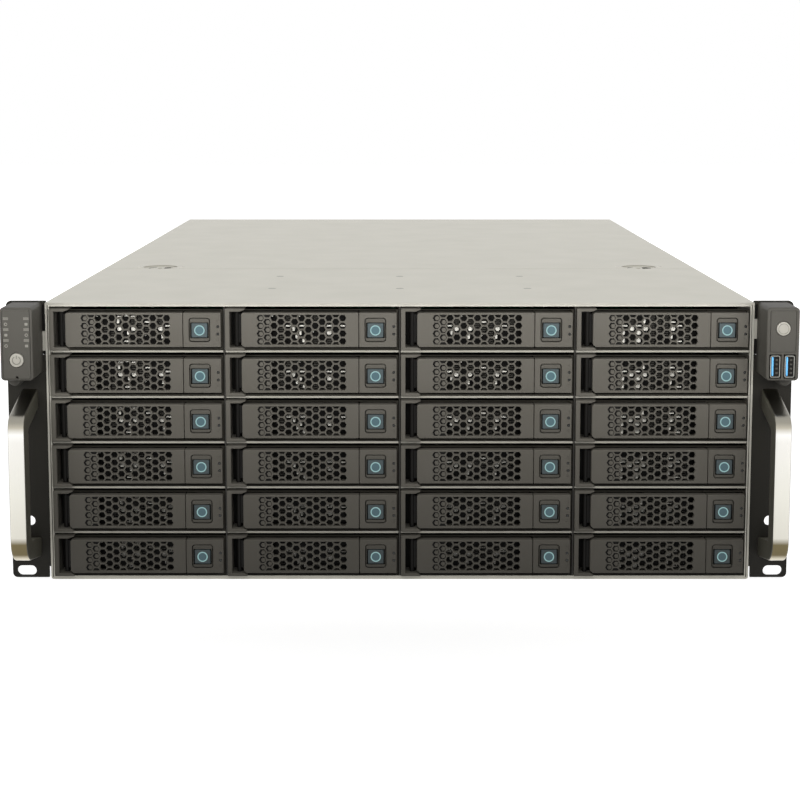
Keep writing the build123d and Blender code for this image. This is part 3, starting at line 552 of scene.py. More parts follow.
BEZEL_LOW, BEZEL_HIGH = corners_of("bezel_a1")
TRAY_WIDTH, TRAY_HEIGHT = (BEZEL_HIGH - BEZEL_LOW)[[0, 2]]
PROUD = BEZEL_LOW[1] - SHEET_FRONT
LEVER_LEFT, LEVER_RIGHT, LEVER_LOW, LEVER_HIGH = 10.0, 81.6, 2.1, 23.35
PLATE_BACK, SKIRT, SKIRT_BACK = PROUD + 2.4, 1.4, 4.0
HINGE_U, HINGE_DEPTH, ROD_RADIUS, ROD_LOW, ROD_HIGH = 7.0, 2.0, 1.5, 2.05, 23.95
BEZEL_BACK, POST_RIGHT, ARM_TOP, ARM_UNDER = 11.8, 2.8, 1.98, 24.0
BLOCK_LEFT, BLOCK_RIGHT = 81.95, 104.9
POCKET_CENTRE, POCKET_HALF, POCKET_RADIUS = (91.9, 12.75), (6.5, 7.45), 1.9
LENS_CENTRE, LENS_HALF = (91.9, 12.5), (4.85, 4.4)
PIPE_U, PIPE_RISES, SPARE_RISES = 103.1, (2.1, -2.5), (5.9, -5.8)
CELL_PITCH_U, CELL_PITCH_V, CELL_COLUMNS, FIRST_CELL_U = 4.19, 4.78, 13, 21.65
FIELD_CENTRE, FIELD_HALF = 12.9, 9.15
INSERT_FRONT = 4.4

# What shows through the cells of each column of trays: cell column, cell row and part of the cell.
# The pale clips are painted highlights for the light and glints that show through the cells.
GLINT_CLIPS = {
    "a": "5.-1T 5.0L 5.1W 6.0U 6.2R 6.3S 7.-1T 7.1W 9.0S 9.2D 11.1W 11.2R 12.1S 2.0D",
    "b": "2.0D 5.1L 5.2R 6.0D 6.1S 6.2L 8.2D 10.1S 10.2W 12.1S 4.1S 6.3R",
    "c": "2.1S 2.2R 3.1W 5.1W 5.2L 7.2D 9.1W 9.2L 10.1S 4.0D 7.0S 10.3D",
    "d": "2.1S 2.2L 2.3L 3.1W 4.1S 4.2W 4.3W 5.0L 5.1W 9.0S 9.1W 9.2L 10.1S 8.3D 10.3S",
}
RIBS = {
    "a": "3.1 4.2 4.3 7.0 8.0 8.1 8.2 8.3 9.1 11.0",
    "b": "3.1 3.2 4.0 6.3 8.0 8.3 10.3 12.1",
    "c": "3.0 5.0 6.1 7.0 7.1 8.1 8.2 8.3 9.0 11.0 11.1",
    "d": "3.0 6.0 6.1 6.2 6.3 7.0 7.1 8.0 8.1 8.2 11.1 11.2",
}
# Parts of a cell: left, right, low and high from its centre
CELL_PARTS = {
    "W": (-1.5, 1.4, -1.3, 1.3),
    "L": (-1.7, -0.2, -1.4, 1.2),
    "R": (0.3, 1.7, -1.2, 1.3),
    "S": (-1.6, 1.5, -0.9, -0.2),
    "T": (-1.4, 1.4, -2.4, -1.5),
    "U": (-1.4, 1.2, 0.6, 1.5),
    "D": (-1.6, -0.9, 0.3, 1.0),
}


def cell_centre(i, j):
    """Centre of the cell in column i and row j from the top, odd columns half a pitch lower."""
    return FIRST_CELL_U + i * CELL_PITCH_U, FIELD_CENTRE + (1.5 - j - 0.5 * (i % 2)) * CELL_PITCH_V


def honeycomb_cells(flats, columns):
    """Outlines of the cells of some columns: shape (cells, 6, 2).

    Cell (i, j) is at (first + i pitch, j pitch), every second column half a pitch lower, and
    its corners stand at sixths of a turn, cut off level at the field's top and bottom.
    """
    turn = np.arange(6) * np.pi / 3
    corner = flats / math.sqrt(3) * np.stack([np.cos(turn), np.sin(turn)], 1)
    i, j = np.meshgrid(columns, np.arange(-2, 3), indexing="ij")
    v = np.where(i % 2 == 0, j + 0.5, j) * CELL_PITCH_V
    kept = np.abs(v) < FIELD_HALF + 1.5
    centres = np.stack([FIRST_CELL_U + i * CELL_PITCH_U, v], -1)[kept]
    cells = centres[:, None] + corner
    cells[..., 1] = np.clip(cells[..., 1], -FIELD_HALF, FIELD_HALF) + FIELD_CENTRE
    return cells


def lever_surface(sizes):
    """Honeycomb plate with a skirt behind it, and the rod that it hangs on.

    The outline goes round the front edge, down the skirt, back inside it and over the plate's
    back; each cell is carried through the plate, or to the floor of its dimple.
    """
    surface = Surface()
    corners = np.array(
        [
            (LEVER_LEFT, LEVER_LOW + 1.6),
            (LEVER_LEFT + 1.6, LEVER_LOW),
            (LEVER_RIGHT, LEVER_LOW),
            (LEVER_RIGHT, LEVER_HIGH),
            (LEVER_LEFT + 1.0, LEVER_HIGH),
            (LEVER_LEFT, LEVER_HIGH - 1.0),
        ]
    )
    outline = rounded(corners, 0.5)
    radius, bevel = sizes.edge_radius * 1000, sizes.cell_edge * 1000
    flats = sizes.cell_flats * 1000
    inner_ring, front_ring = surface.carry(
        outline,
        [(SKIRT, PLATE_BACK), (SKIRT, SKIRT_BACK), (0, SKIRT_BACK), *edge(PROUD, radius)],
    )
    through = honeycomb_cells(flats, np.arange(2, CELL_COLUMNS))
    blind = honeycomb_cells(flats, np.arange(2))
    front_cells, back_cells = surface.carry(
        through, [(-bevel, PROUD), (0, PROUD + bevel), (0, PLATE_BACK)]
    )
    depth = PROUD + sizes.dimple_depth * 1000
    dimples, moats = surface.carry(blind, [(-bevel, PROUD), (0, PROUD + bevel), (0, depth)])
    # Painted shade: the dimples' walls are black plastic, a dark crescent round each blind cell
    painted_shade_walls = blind.shape[0] * blind.shape[1]
    surface.marks[-painted_shade_walls:] = [1] * painted_shade_walls
    whole = np.ptp(blind[..., 1], axis=1) > flats - 0.01
    raised = inset(blind[whole], 0.6) + np.array([0.48, -0.15])
    feet, floors = surface.carry(raised, [(0, depth), (0.05, PROUD + 0.3), (0.2, PROUD + 0.15)])
    # The moat floors are black plastic too: painted shade
    surface.mark = 1
    for moat, foot in zip(moats[whole], feet):
        surface.close(moat, [foot])
    for moat in moats[~whole]:
        surface.close(moat)
    surface.mark = 0
    surface.close(front_ring, [*front_cells, *dimples])
    surface.close(inner_ring, back_cells)
    for ring in floors:
        surface.close(ring)
    upright = Surface((HINGE_U, HINGE_DEPTH, ROD_LOW), (1, 0, 0), (0, 1, 0))
    # The rod and its web are black plastic: painted shade for the dark slot they sit in
    surface.mark = upright.mark = 1
    rise, chamfer = ROD_HIGH - ROD_LOW, 0.15
    end = ROD_RADIUS - chamfer
    upright.turned(
        (0, 0),
        [(end, 0), (ROD_RADIUS, -chamfer), (ROD_RADIUS, chamfer - rise), (end, -rise)],
        20,
    )
    web_low, web_high = LEVER_LOW + 2.4, LEVER_HIGH - 1.1
    surface.box(HINGE_U, LEVER_LEFT + SKIRT, web_low, web_high, HINGE_DEPTH - 1, HINGE_DEPTH + 1)
    return joined(surface, upright)


def joined(*surfaces):
    """Several surfaces as one."""
    whole = Surface()
    for surface in surfaces:
        whole.faces += [[number + whole.count for number in face] for face in surface.faces]
        whole.marks += surface.marks
        whole.points += surface.points
        whole.count += surface.count
    return whole


def bezel_surface(sizes):
    """Frame round the lever: a thin rim, a post with two arms at its left, the latch block."""
    surface = Surface()
    # The rim takes the darker rim plastic: painted shade on the set-back rim
    surface.mark = 1
    radius = sizes.edge_radius * 1000
    rim = rounded(rectangle(0, TRAY_WIDTH, 0, TRAY_HEIGHT - 0.3), 0.4)
    outer, front = surface.carry(rim, [(0, 2.2), *edge(0.5, 0.2)])
    opening = rounded(rectangle(2.8, BLOCK_RIGHT - 0.4, 0.9, TRAY_HEIGHT - 0.85), 0.2)
    lip, inner = surface.carry(opening, [(-0.1, 0.5), (0, 0.6), (0, 2.2)])
    surface.close(front, [lip])
    surface.close(outer, [inner])
    surface.mark = 0
    low, high = 0.1, TRAY_HEIGHT + 0.45
    frame_corners = np.array(
        [
            (0, low),
            (12.2, low),
            (12.0, 1.0),
            (10.4, ARM_TOP),
            (POST_RIGHT, ARM_TOP),
            (POST_RIGHT, ARM_UNDER),
            (9.1, ARM_UNDER),
            (12.0, 25.2),
            (12.2, high),
            (0, high),
        ]
    )
    radii = [0.4, 0.2, 0.3, 0.4, 0.4, 0.4, 0.4, 0.2, 0.1, 0.4]
    surface.block(rounded(frame_corners, radii), [(0, BEZEL_BACK), *edge(PROUD, radius)])
    block = rounded(rectangle(BLOCK_LEFT, BLOCK_RIGHT, LEVER_LOW, LEVER_HIGH), 0.5)
    back, face = surface.carry(block, [(0, BEZEL_BACK), *edge(PROUD, radius)])
    pocket = rounded(around(POCKET_CENTRE, POCKET_HALF), POCKET_RADIUS, 5)
    mouths = [surface.recess(pocket, [(-0.25, PROUD), (0, PROUD + 0.25), (0, 3)])]
    middle = POCKET_CENTRE[1]
    for rise in PIPE_RISES:
        bore = circle((PIPE_U, middle + rise), 0.9, 16)
        mouths.append(surface.recess(bore, [(-0.1, PROUD), (0, PROUD + 0.1), (0, 2)]))
    for rise in SPARE_RISES:
        mark = circle((PIPE_U, middle + rise), 0.85, 16)
        moat = [(0, PROUD), (0.02, PROUD + 0.2), (0.12, PROUD + 0.2), (0.14, PROUD + 0.03)]
        mouths.append(surface.recess(mark, moat))
    surface.close(face, mouths)
    surface.close(back)
    return surface


def caddy_surface():
    """Two side rails on three straps, and the insert that closes the tray behind the lever."""
    surface = Surface()
    for left in (0, TRAY_WIDTH - 1.6):
        surface.box(left, left + 1.6, 0.8, 21, 12, 180, 0.25)
    for front in (12, 89, 166):
        surface.box(0.05, TRAY_WIDTH - 0.05, 0, 0.8, front, front + 14, 0.2)
    surface.box(0.1, TRAY_WIDTH - 0.1, 0.8, LEVER_HIGH, 10.4, 12.4, 0.3)
    surface.box(14, 80, 2.6, 22.2, INSERT_FRONT, 10.4, 0.3)
    return surface


def glint_clips_surface(column):
    """Pale tabs on the insert, each a small block behind one part of a cell: painted highlights for
    the light and glints that show through the cells.
    """
    surface = Surface()
    for entry in GLINT_CLIPS[column].split():
        place, part = entry[:-1], entry[-1]
        u, v = cell_centre(*(int(number) for number in place.split(".")))
        left, right, low, high = CELL_PARTS[part]
        radius = 0.42 * min(right - left, high - low)
        outline = rounded(rectangle(u + left, u + right, v + low, v + high), radius, 4)
        surface.block(outline, [(0, INSERT_FRONT), *edge(0.9, 0.3 * radius)])
    return surface


def ribs_surface(column):
    """Grey moulded ribs of the insert, each three bars across a cell."""
    surface = Surface()
    for entry in RIBS[column].split():
        u, v = cell_centre(*(int(number) for number in entry.split(".")))
        for n in range(3):
            low = v - 1.6 + 1.2 * n
            surface.box(u - 1.5, u + 1.5, low, low + 0.7, 2.0, INSERT_FRONT, 0.2)
    return surface


def key_surface():
    """Eject key: rounded, with a square groove round its raised lens."""
    surface = Surface()
    gap, front = 0.45, PROUD + 0.35
    half = [side - gap for side in POCKET_HALF]
    body = rounded(around(POCKET_CENTRE, half), POCKET_RADIUS - gap, 5)
    back, face = surface.carry(body, [(0, 0.9), *edge(front, 0.4)])
    groove = rounded(around(LENS_CENTRE, (LENS_HALF[0] + 0.9, LENS_HALF[1] + 0.45)), 0.5)
    surface.mark = 1
    mouth = surface.recess(groove, [(0, front), (0, front + 1.6)])
    surface.mark = 0
    surface.close(back)
    surface.close(face, [mouth])
    return surface


def lens_surface():
    """Square lens with soft edges, standing in the key's groove."""
    surface = Surface()
    outline = rounded(around(LENS_CENTRE, LENS_HALF), 0.6)
    surface.block(outline, [(0, PROUD + 1.95), *edge(PROUD + 0.1, 0.35)])
    return surface


def ring_surface(sizes):
    """Light ring on the lens: a flat band with a low crown, turned round the lens's centre, and
    the disc inside it."""
    surface = Surface()
    radius, half = sizes.ring_radius * 1000, sizes.ring_thickness * 500
    front = PROUD + 0.1
    across = np.linspace(-1, 1, 7)
    profile = [(radius + half * x, front - 0.12 * (1 - x**4)) for x in across]
    profile += [(radius + half, front + 0.4), (radius - half, front + 0.4)]
    surface.turn(LENS_CENTRE, profile, looped=True)
    surface.mark = 1
    surface.turned(LENS_CENTRE, [(radius - half, front + 0.3), (radius - half, front - 0.03)])
    return surface


def pipes_surface():
    """Two domed light pipes: each profile is a quarter circle turned round its axis."""
    surface = Surface()
    for rise in PIPE_RISES:
        turn = np.linspace(0, np.pi / 2 * 0.95, 5)
        dome = [(0.82 * math.cos(t), PROUD + 0.25 - 0.35 * math.sin(t)) for t in turn]
        surface.turned((PIPE_U, POCKET_CENTRE[1] + rise), [(0.82, 1.9), *dome], 16)
    return surface


class BuildDriveTrays(Operator):
    """Builds the 24 drive trays with honeycomb levers, eject keys and light pipes."""

    bl_idname = "server_chassis.drive_trays"
    bl_label = "Build Drive Trays"

    def execute(self, context):
        sizes = context.scene.chassis_trays
        plastic = finishes()
        # Light guide of frosted acrylic: pale cyan, lit from behind
        cyan = grained(
            "frosted_acrylic_ring", "#4c5d5e", "#566868", 0.5, 60.0, 0.35, 0.02,
            **{"Emission Color": linear("#789b9b"), "Emission Strength": 0.95},
        )
        # The disc inside the ring: tinted acrylic that takes a little of the ring's light
        teal = grained(
            "tinted_acrylic_disc", "#344b51", "#3d555b", 0.5, 60.0, 0.3, 0.02,
            **{"Emission Color": linear("#466670"), "Emission Strength": 0.2},
        )
        # Moulded ABS of the eject key: the tray's plastic in a slightly darker batch
        dark_abs = grained(
            "dark_textured_abs", "#4b4943", "#524f49", 0.5, 20.0, 0.5, 0.2,
            **{"Specular IOR Level": 0.2},
        )
        # Moulded ABS of the rim behind the lever, with painted shade: darker than the tray's
        # plastic, since only its edge meets the light
        rim_abs_painted_shade = grained(
            "rim_abs_with_painted_shade", "#23211c", "#2a2823", 0.5, 20.0, 0.6, 0.2,
            **{"Specular IOR Level": 0.15},
        )
        shapes = {
            "caddy": (caddy_surface(), plastic["black_plastic"], "tray_plastic"),
            "bezel": (bezel_surface(sizes), [plastic["tray_plastic"], rim_abs_painted_shade], "tray_plastic"),
            "lever": (
                lever_surface(sizes),
                [plastic["tray_plastic"], plastic["black_plastic"]],
                "tray_plastic",
            ),
            "key": (key_surface(), [dark_abs, plastic["black_plastic"]], "key_plastic"),
            "lens": (lens_surface(), plastic["key_plastic"], "key_plastic"),
            "ring": (ring_surface(sizes), [cyan, teal], "key_plastic"),
            "pipes": (pipes_surface(), plastic["pipe_plastic"], "pipe_plastic"),
        }
        glint_clips = {column: glint_clips_surface(column) for column in COLUMNS}
        ribs = {column: ribs_surface(column) for column in COLUMNS}
        first_bodies = {
            "lever": "lever_a1",
            "key": "eject_button_a1",
            "lens": "eject_button_a1",
            "ring": "eject_button_a1",
        }
        first_nodes = {
            "caddy": "tray_a1",
            "bezel": "bezel_a1",
            "lever": "lever_a1",
            "key": "eject_button_a1",
            "pipes": "light_pipes_a1",
        }
        for column in COLUMNS:
            for row in ROWS:
                tray = f"tray_{column}{row}"
                low = corners_of("bezel_a1" if tray == "tray_a1" else tray)[0]
                offset = (low[0], SHEET_FRONT, low[2])
                extra = {
                    # Pale tabs behind the cells: painted highlights for light and glints seen
                    # through them
                    "glint_clips": (glint_clips[column], plastic["nickel"], "bright_steel"),
                    "ribs": (ribs[column], plastic["grey_plastic"], "tray_plastic"),
                }
                for name, (surface, material, slot) in {**shapes, **extra}.items():
                    body, nodes = tray, [tray] if name == "bezel" else []
                    if tray == "tray_a1":
                        body = first_bodies.get(name, tray)
                        nodes = [first_nodes[name]] if name in first_nodes else []
                    materials = material if isinstance(material, list) else [material]
                    make_piece(
                        f"{tray}_{name}_look", surface, materials, body, nodes, offset
                    )
        return {"FINISHED"}


# Handles

HANDLE_THICKNESS, UPPER_DROP, LOWER_RISE = 12.0, 11.2, 7.5


def handle_surface(side):
    """Bar whose section is carried along two guides, one for its outer and one for its inner face.

    Point (s, t) is outer(s) + (inner(s) - outer(s)) v(t) + u(t) sideways, where u and v go
    round the section.
    """
    low, high = corners_of("handle_left" if side < 0 else "handle_right")
    front, back = low[1], high[1]
    centre = (low[0] + high[0]) / 2
    reach, thick = back - front, HANDLE_THICKNESS
    upper, lower = high[2], low[2]

    def guide(depth, upper, lower):
        """Corners of the bar's side view at one depth in front, where its two legs lean in."""
        share = depth / reach
        return [
            (back, upper),
            (back - depth, upper - UPPER_DROP * share),
            (back - depth, lower + LOWER_RISE * share),
            (back, lower),
        ]

    outer = np.array(guide(reach, upper, lower))
    inner = np.array(guide(reach - thick, upper - thick, lower + thick))
    steps = 10
    guides = []
    for points, radii in ((outer, (0.1, 9.0, 14.0, 0.1)), (inner, (0.1, 4.0, 4.0, 0.1))):
        bends = arcs(points, radii, steps)
        guides.append(np.concatenate([points[:1], bends[1], bends[2], points[3:]]))
    outer_guide, inner_guide = guides
    half = (high[0] - low[0]) / 2
    section = rounded(rectangle(-half, half, 0, thick), [1.4, 1.4, 0.5, 0.5], 4)
    u, v = section[:, 0], section[:, 1] / thick
    flat = outer_guide[:, None] + (inner_guide - outer_guide)[:, None] * v[None, :, None]
    points = np.stack([np.broadcast_to(centre + u, flat.shape[:2]), flat[..., 0], flat[..., 1]], -1)
    surface = Surface()
    rings = surface.ring(points)
    surface.band(rings[:-1], rings[1:])
    surface.marks = (np.tile(section_marks(section), len(rings) - 1)).tolist()
    surface.mark = 1
    surface.close(rings[0])
    surface.close(rings[-1])
    return surface


def section_marks(section):
    """Marks the sides of the handle's section: 0 for its bright outer face, 1 for the rest."""
    middle = (section + np.roll(section, -1, 0)) / 2
    return np.where(middle[:, 1] < 0.6, 0, 1)


class BuildHandles(Operator):
    """Builds the two bar handles with a bright face and dark sides."""

    bl_idname = "server_chassis.handles"
    bl_label = "Build Handles"

    def execute(self, context):
        materials = finishes()
        # Black anodising on the handle's sides: dark warm grey with a soft sheen
        dark = grained("black_anodised_aluminium", "#45433a", "#4e4c42", 0.4, 12.0, 0.42, 0.08)
        for side, name in ((-1, "handle_left"), (1, "handle_right")):
            make_piece(
                f"{name}_look",
                handle_surface(side),
                [materials["satin_metal"], dark],
                "chassis",
                [name],
            )
        return {"FINISHED"}


# Control housings on the ears

HOUSING_WIDTH, HOUSING_HEIGHT, HOUSING_REACH = 19.6, 44.2, 27.0
BUTTON_RADIUS, BUTTON_GAP = 4.2, 0.3
LUG_RADIUS, LUG_DROP = 4.8, 1.2
LAMP_REACH, LAMP_DROP, LAMP_PITCH = 6.1, 6.6, 6.55
SHIELD_WIDTH, SHIELD_LOW, SHIELD_HIGH = 4.6, 141.1, 172.0


def housing_surface(side, centre, top, holes, panel):
    """Box whose rounded outline is carried from the ear to its front, with a fine groove round
    an inset panel; holes are (outlines, depth, whether they lie in the panel)."""
    surface = Surface()
    left, right = centre - HOUSING_WIDTH / 2, centre + HOUSING_WIDTH / 2
    front = EAR_FRONT - HOUSING_REACH
    outline = rounded(rectangle(left, right, top - HOUSING_HEIGHT, top), 2.4, 6)
    back, face = surface.carry(outline, [(0, EAR_FRONT), *edge(front, 0.9, 4)])
    surface.close(back)
    mouths = {True: [], False: []}
    for shape, depth, inside in holes:
        bore = [(-0.12, front), (0, front + 0.12), (0, front + depth)]
        mouths[inside].append(surface.recess(shape, bore))
    groove = rounded(panel, 1.6, 4)
    outer, inner = surface.carry(
        groove, [(0, front), (0.04, front + 0.6), (0.4, front + 0.6), (0.44, front)]
    )
    surface.close(face, [outer, *mouths[False]])
    surface.close(inner, mouths[True])
    lug, slim = Surface(), LUG_RADIUS - 0.5
    lug_u = side * (abs(centre) + HOUSING_WIDTH / 2 - LUG_RADIUS)
    lug_centre = (lug_u, top - HOUSING_HEIGHT - LUG_DROP)
    ribs = [(slim, EAR_FRONT)]
    for n in range(5):
        start = EAR_FRONT - 2.2 * n
        ribs += [(slim, start - 0.5), (LUG_RADIUS, start - 0.9)]
        ribs += [(LUG_RADIUS, start - 1.8), (slim, start - 2.2)]
    ribs += [(slim, EAR_FRONT - 12.4), (slim - 0.4, EAR_FRONT - 12.9)]
    lug.turned(lug_centre, ribs, 32)
    return joined(surface, lug)


def button_surface(centre, front):
    """Round button with a soft edge and a slightly domed face, turned round its axis."""
    turn = np.linspace(0, np.pi / 2, 5)
    soft = 0.5
    flat = BUTTON_RADIUS - soft
    rim = [(flat + soft * math.cos(t), front + soft * (1 - math.sin(t))) for t in turn]
    surface = Surface()
    surface.turned(centre, [(BUTTON_RADIUS, front + 4.8), *rim, (1.5, front - 0.05)], 40)
    return surface


def plate_surface(outlines, front, thickness=0.08):
    """Thin raised prints, one for each outline."""
    surface = Surface()
    for outline in outlines:
        surface.block(outline, [(0, front + thickness), (0, front)])
    return surface


def ring_sector(centre, inner, outer, start, end, steps=20):
    """Outline of a band round a centre, from one angle to another."""
    turn = np.linspace(start, end, steps)
    spoke = np.stack([np.cos(turn), np.sin(turn)], 1)
    return np.asarray(centre) + np.concatenate([outer * spoke, inner * spoke[::-1]])


class BuildControls(Operator):
    """Builds the control housings, their buttons, lamps, symbols and data ports."""

    bl_idname = "server_chassis.controls"
    bl_label = "Build Controls"

    def execute(self, context):
        materials = finishes()
        # Screen-printed ink and lamp windows: dull pale grey on the housing
        ink = grained("pale_grey_ink", "#6d6b64", "#7a7870", 0.4, 4.0, 0.5, 0.02)
        # Dark ink of the symbols on the white buttons
        symbol_ink = grained("grey_symbol_ink", "#504e48", "#59574f", 0.4, 4.0, 0.5, 0.02)
        front = EAR_FRONT - HOUSING_REACH
        low, high = corners_of("control_housing_left")
        left_centre, top = low[0] + HOUSING_WIDTH / 2, high[2]
        right_centre = corners_of("control_housing_right")[1][0] - HOUSING_WIDTH / 2
        floor = top - HOUSING_HEIGHT
        power = (left_centre, middle_of("power_button")[2])
        identify = (right_centre, middle_of("identify_button")[2])
        port_low, port_high = corners_of("data_port_shells")
        ports = [
            (port_low[0] + 2.9, (port_low[2] + port_high[2]) / 2),
            (port_high[0] - 2.9, (port_low[2] + port_high[2]) / 2),
        ]
        button_hole = BUTTON_RADIUS + BUTTON_GAP
        left = housing_surface(
            -1,
            left_centre,
            top,
            [
                (circle(power, button_hole, 40), 5.3, True),
                (circle((left_centre, top - 42.2), 0.8, 16), 4.0, True),
            ],
            rectangle(left_centre - 8.5, left_centre + 8.5, floor + 0.9, top - 1.0),
        )
        port_holes = [(rounded(around(port, (3.6, 7.3)), 0.5), 13.5, False) for port in ports]
        right = housing_surface(
            1,
            right_centre,
            top,
            [(circle(identify, button_hole, 40), 5.3, True), *port_holes],
            rectangle(right_centre - 7.9, right_centre + 7.9, floor + 17.2, top - 1.6),
        )
        for name, surface, body, slot in (
            ("control_housing_left", left, "chassis", "grey_plastic"),
            ("control_housing_right", right, "chassis", "grey_plastic"),
            ("power_button", button_surface(power, front - 0.8), "power_button", "white_plastic"),
            (
                "identify_button",
                button_surface(identify, front - 0.8),
                "identify_button",
                "white_plastic",
            ),
        ):
            make_piece(f"{name}_look", surface, [materials[slot]], body, [name])
        cut = math.radians(32)
        u, v = power
        symbol = plate_surface(
            [
                ring_sector(power, 2.15, 2.6, math.pi / 2 + cut, 2.5 * math.pi - cut, 30),
                rectangle(u - 0.22, u + 0.22, v + 0.9, v + 3.0),
            ],
            front - 0.93,
        )
        make_piece("power_symbol", symbol, [symbol_ink], "power_button")
        halo = Surface()
        profile = [(2.9, front - 0.7), (2.9, front - 0.9), (3.15, front - 0.9), (3.15, front - 0.7)]
        halo.turn(identify, profile, looped=True)
        make_piece("identify_halo", halo, [symbol_ink], "identify_button")
        make_piece(
            "lamp_row", self.lamps(left_centre, top, front), [ink], "chassis"
        )
        self.build_ports(ports, front, materials)
        shields = Surface()
        for side in (-1, 1):
            sides = sorted((side * (BODY_HALF + 0.05), side * (BODY_HALF + SHIELD_WIDTH)))
            back = EAR_FRONT + EAR_SHEET
            shields.box(*sides, SHIELD_LOW, SHIELD_HIGH, back + 0.1, back + 1.1, 0.2)
        make_piece(
            "ear_shields", shields, [materials["black_plastic"]], "chassis"
        )
        return {"FINISHED"}

    def lamps(self, centre, top, front):
        """Two columns of three lamp windows over small round and square signs."""
        outlines = []
        for u in (centre - LAMP_REACH, centre + LAMP_REACH):
            for n in range(3):
                v = top - LAMP_DROP - LAMP_PITCH * n
                for k in range(3):
                    bar = (u, v - 0.6 + 0.55 * k)
                    outlines.append(around(bar, (1.6, 0.15)))
                sign = (u, v - 3.4)
                if (n + (u > centre)) % 2:
                    outlines.append(rounded(around(sign, (0.9, 0.8)), 0.3))
                else:
                    outlines.append(ring_sector(sign, 0.55, 1.0, 0.3, 2 * math.pi, 16))
        return plate_surface(outlines, front - 0.05)

    def build_ports(self, ports, front, materials):
        """Shell, tongue and contacts of the two data ports."""
        shells, cores, tongues, contacts = Surface(), Surface(), Surface(), Surface()
        for u, v in ports:
            shells.block(
                rounded(around((u, v), (2.9, 6.6)), 1.0, 4),
                [
                    (0.4, front + 12.6),
                    (0.4, front + 0.15),
                    (0.2, front),
                    (0.0, front + 0.15),
                    (0.0, front + 13.8),
                ],
            )
            cores.box(u - 2.45, u + 2.45, v - 6.15, v + 6.15, front + 0.9, front + 13.7, 0.2)
            tongues.box(u - 2.1, u - 1.0, v - 5.7, v + 5.7, front + 0.2, front + 0.9, 0.25)
            for n in range(4):
                middle = v + (n - 1.5) * 2.6
                contacts.box(
                    u + 0.3, u + 1.7, middle - 0.5, middle + 0.5, front + 0.6, front + 0.9, 0.1
                )
        for name, surface, slot, nodes in (
            ("data_port_shells_look", shells, "bright_steel", ["data_port_shells"]),
            ("data_port_tongues_look", tongues, "blue_plastic", ["data_port_tongues"]),
            ("data_port_cores", cores, "black_plastic", []),
            ("data_port_contacts", contacts, "grey_plastic", []),
        ):
            make_piece(name, surface, [materials[slot]], "chassis", nodes)


# Cover latches

LATCH_RADIUS, RIVET_REACH = 12.0, 15.4


class BuildCoverLatches(Operator):
    """Builds the two dished push latches of the rear cover."""

    bl_idname = "server_chassis.cover_latches"
    bl_label = "Build Cover Latches"

    def execute(self, context):
        materials = finishes()
        material, black = materials["cover"], materials["black_plastic"]
        cover_top = corners_of("rear_cover")[1][2]
        rivets = Surface((0, 0, cover_top), (1, 0, 0), (0, 1, 0))
        for name in ("cover_latch_left", "cover_latch_right"):
            low, high = corners_of(name)
            middle = middle_of(name)
            surface = Surface((middle[0], middle[1], high[2]), (1, 0, 0), (0, 1, 0))
            depth = high[2] - low[2]
            disc = circle((0, 0), LATCH_RADIUS, 56)
            back, face = surface.carry(
                disc,
                [
                    (LATCH_RADIUS - 3.0, depth),
                    (LATCH_RADIUS - 3.0, 1.8),
                    (0, 1.8),
                    (0, 0.25),
                    (0.2, 0.0),
                    (1.2, 0.0),
                    (1.5, 0.5),
                ],
            )
            surface.close(back)
            crescent = ring_sector((0.6, 0), 8.3, 9.7, math.radians(118), math.radians(242), 16)
            corners = [(2.6, -5.4), (5.6, -7.2), (9.4, -3.2), (9.4, 3.2), (5.6, 7.2), (2.6, 5.4)]
            cavity = rounded(np.array(corners), 1.2)
            mouths = []
            surface.mark = 1
            for outline in (crescent, cavity):
                mouths.append(surface.recess(outline, [(0, 0.5), (0, 1.5)]))
            surface.mark = 0
            surface.close(face, mouths)
            surface.turned((-0.4, 0), [(1.5, 0.55), (1.5, 0.2), (1.2, -0.1), (0.5, -0.25)], 20)
            make_piece(f"{name}_look", surface, [material, black], name, [name])
            for side in (-1, 1):
                rivets.turned(
                    (middle[0] + side * RIVET_REACH, middle[1]),
                    [(2.2, 0.0), (2.1, -0.3), (1.3, -0.55), (0.5, -0.6)],
                    24,
                )
        make_piece(
            "cover_rivets", rivets, [materials["nickel"]], "rear_cover"
        )
        return {"FINISHED"}


# Screws

HEAD_RADIUS, HEAD_RISE, THREAD_RADIUS = 3.6, 2.2, 1.9
EAR_SCREW_SETBACK, EAR_SCREW_HEIGHTS = 40.0, (22.0, 70.0, 118.0)
HANDLE_SCREW_HEIGHTS = (113.3, 20.5)
SLOT_SCREW_X, SLOT_SCREW_INSET, SLOT_PITCH, SLOT_COUNT = -66.0, 6.0, 20.32, 7


def screw_surface(origin, right, up, shank):
    """Pan head with a cross recess: a quarter ellipse turned round the screw's axis."""
    surface = Surface(origin, right, up)
    turn = np.linspace(0, np.pi / 2 * 0.72, 6)
    crown = zip(np.cos(turn) ** 0.6, np.sin(turn) / math.sin(turn[-1]))
    profile = [(THREAD_RADIUS, shank), (THREAD_RADIUS, 0.05), (HEAD_RADIUS, 0.05)]
    profile += [(HEAD_RADIUS * across, -HEAD_RISE * rise) for across, rise in crown]
    rings = surface.turn((0, 0), profile, 24)
    surface.close(rings[0])
    arm, half = profile[-1][0] * 0.8, 0.35
    cross = np.array(
        [
            (half, half), (half, arm), (-half, arm), (-half, half), (-arm, half), (-arm, -half),
            (-half, -half), (-half, -arm), (half, -arm), (half, -half), (arm, -half), (arm, half),
        ]
    )
    mouth = surface.recess(cross, [(0, -HEAD_RISE), (0.12, -HEAD_RISE + 1.1)])
    surface.close(rings[-1], [mouth])
    return surface


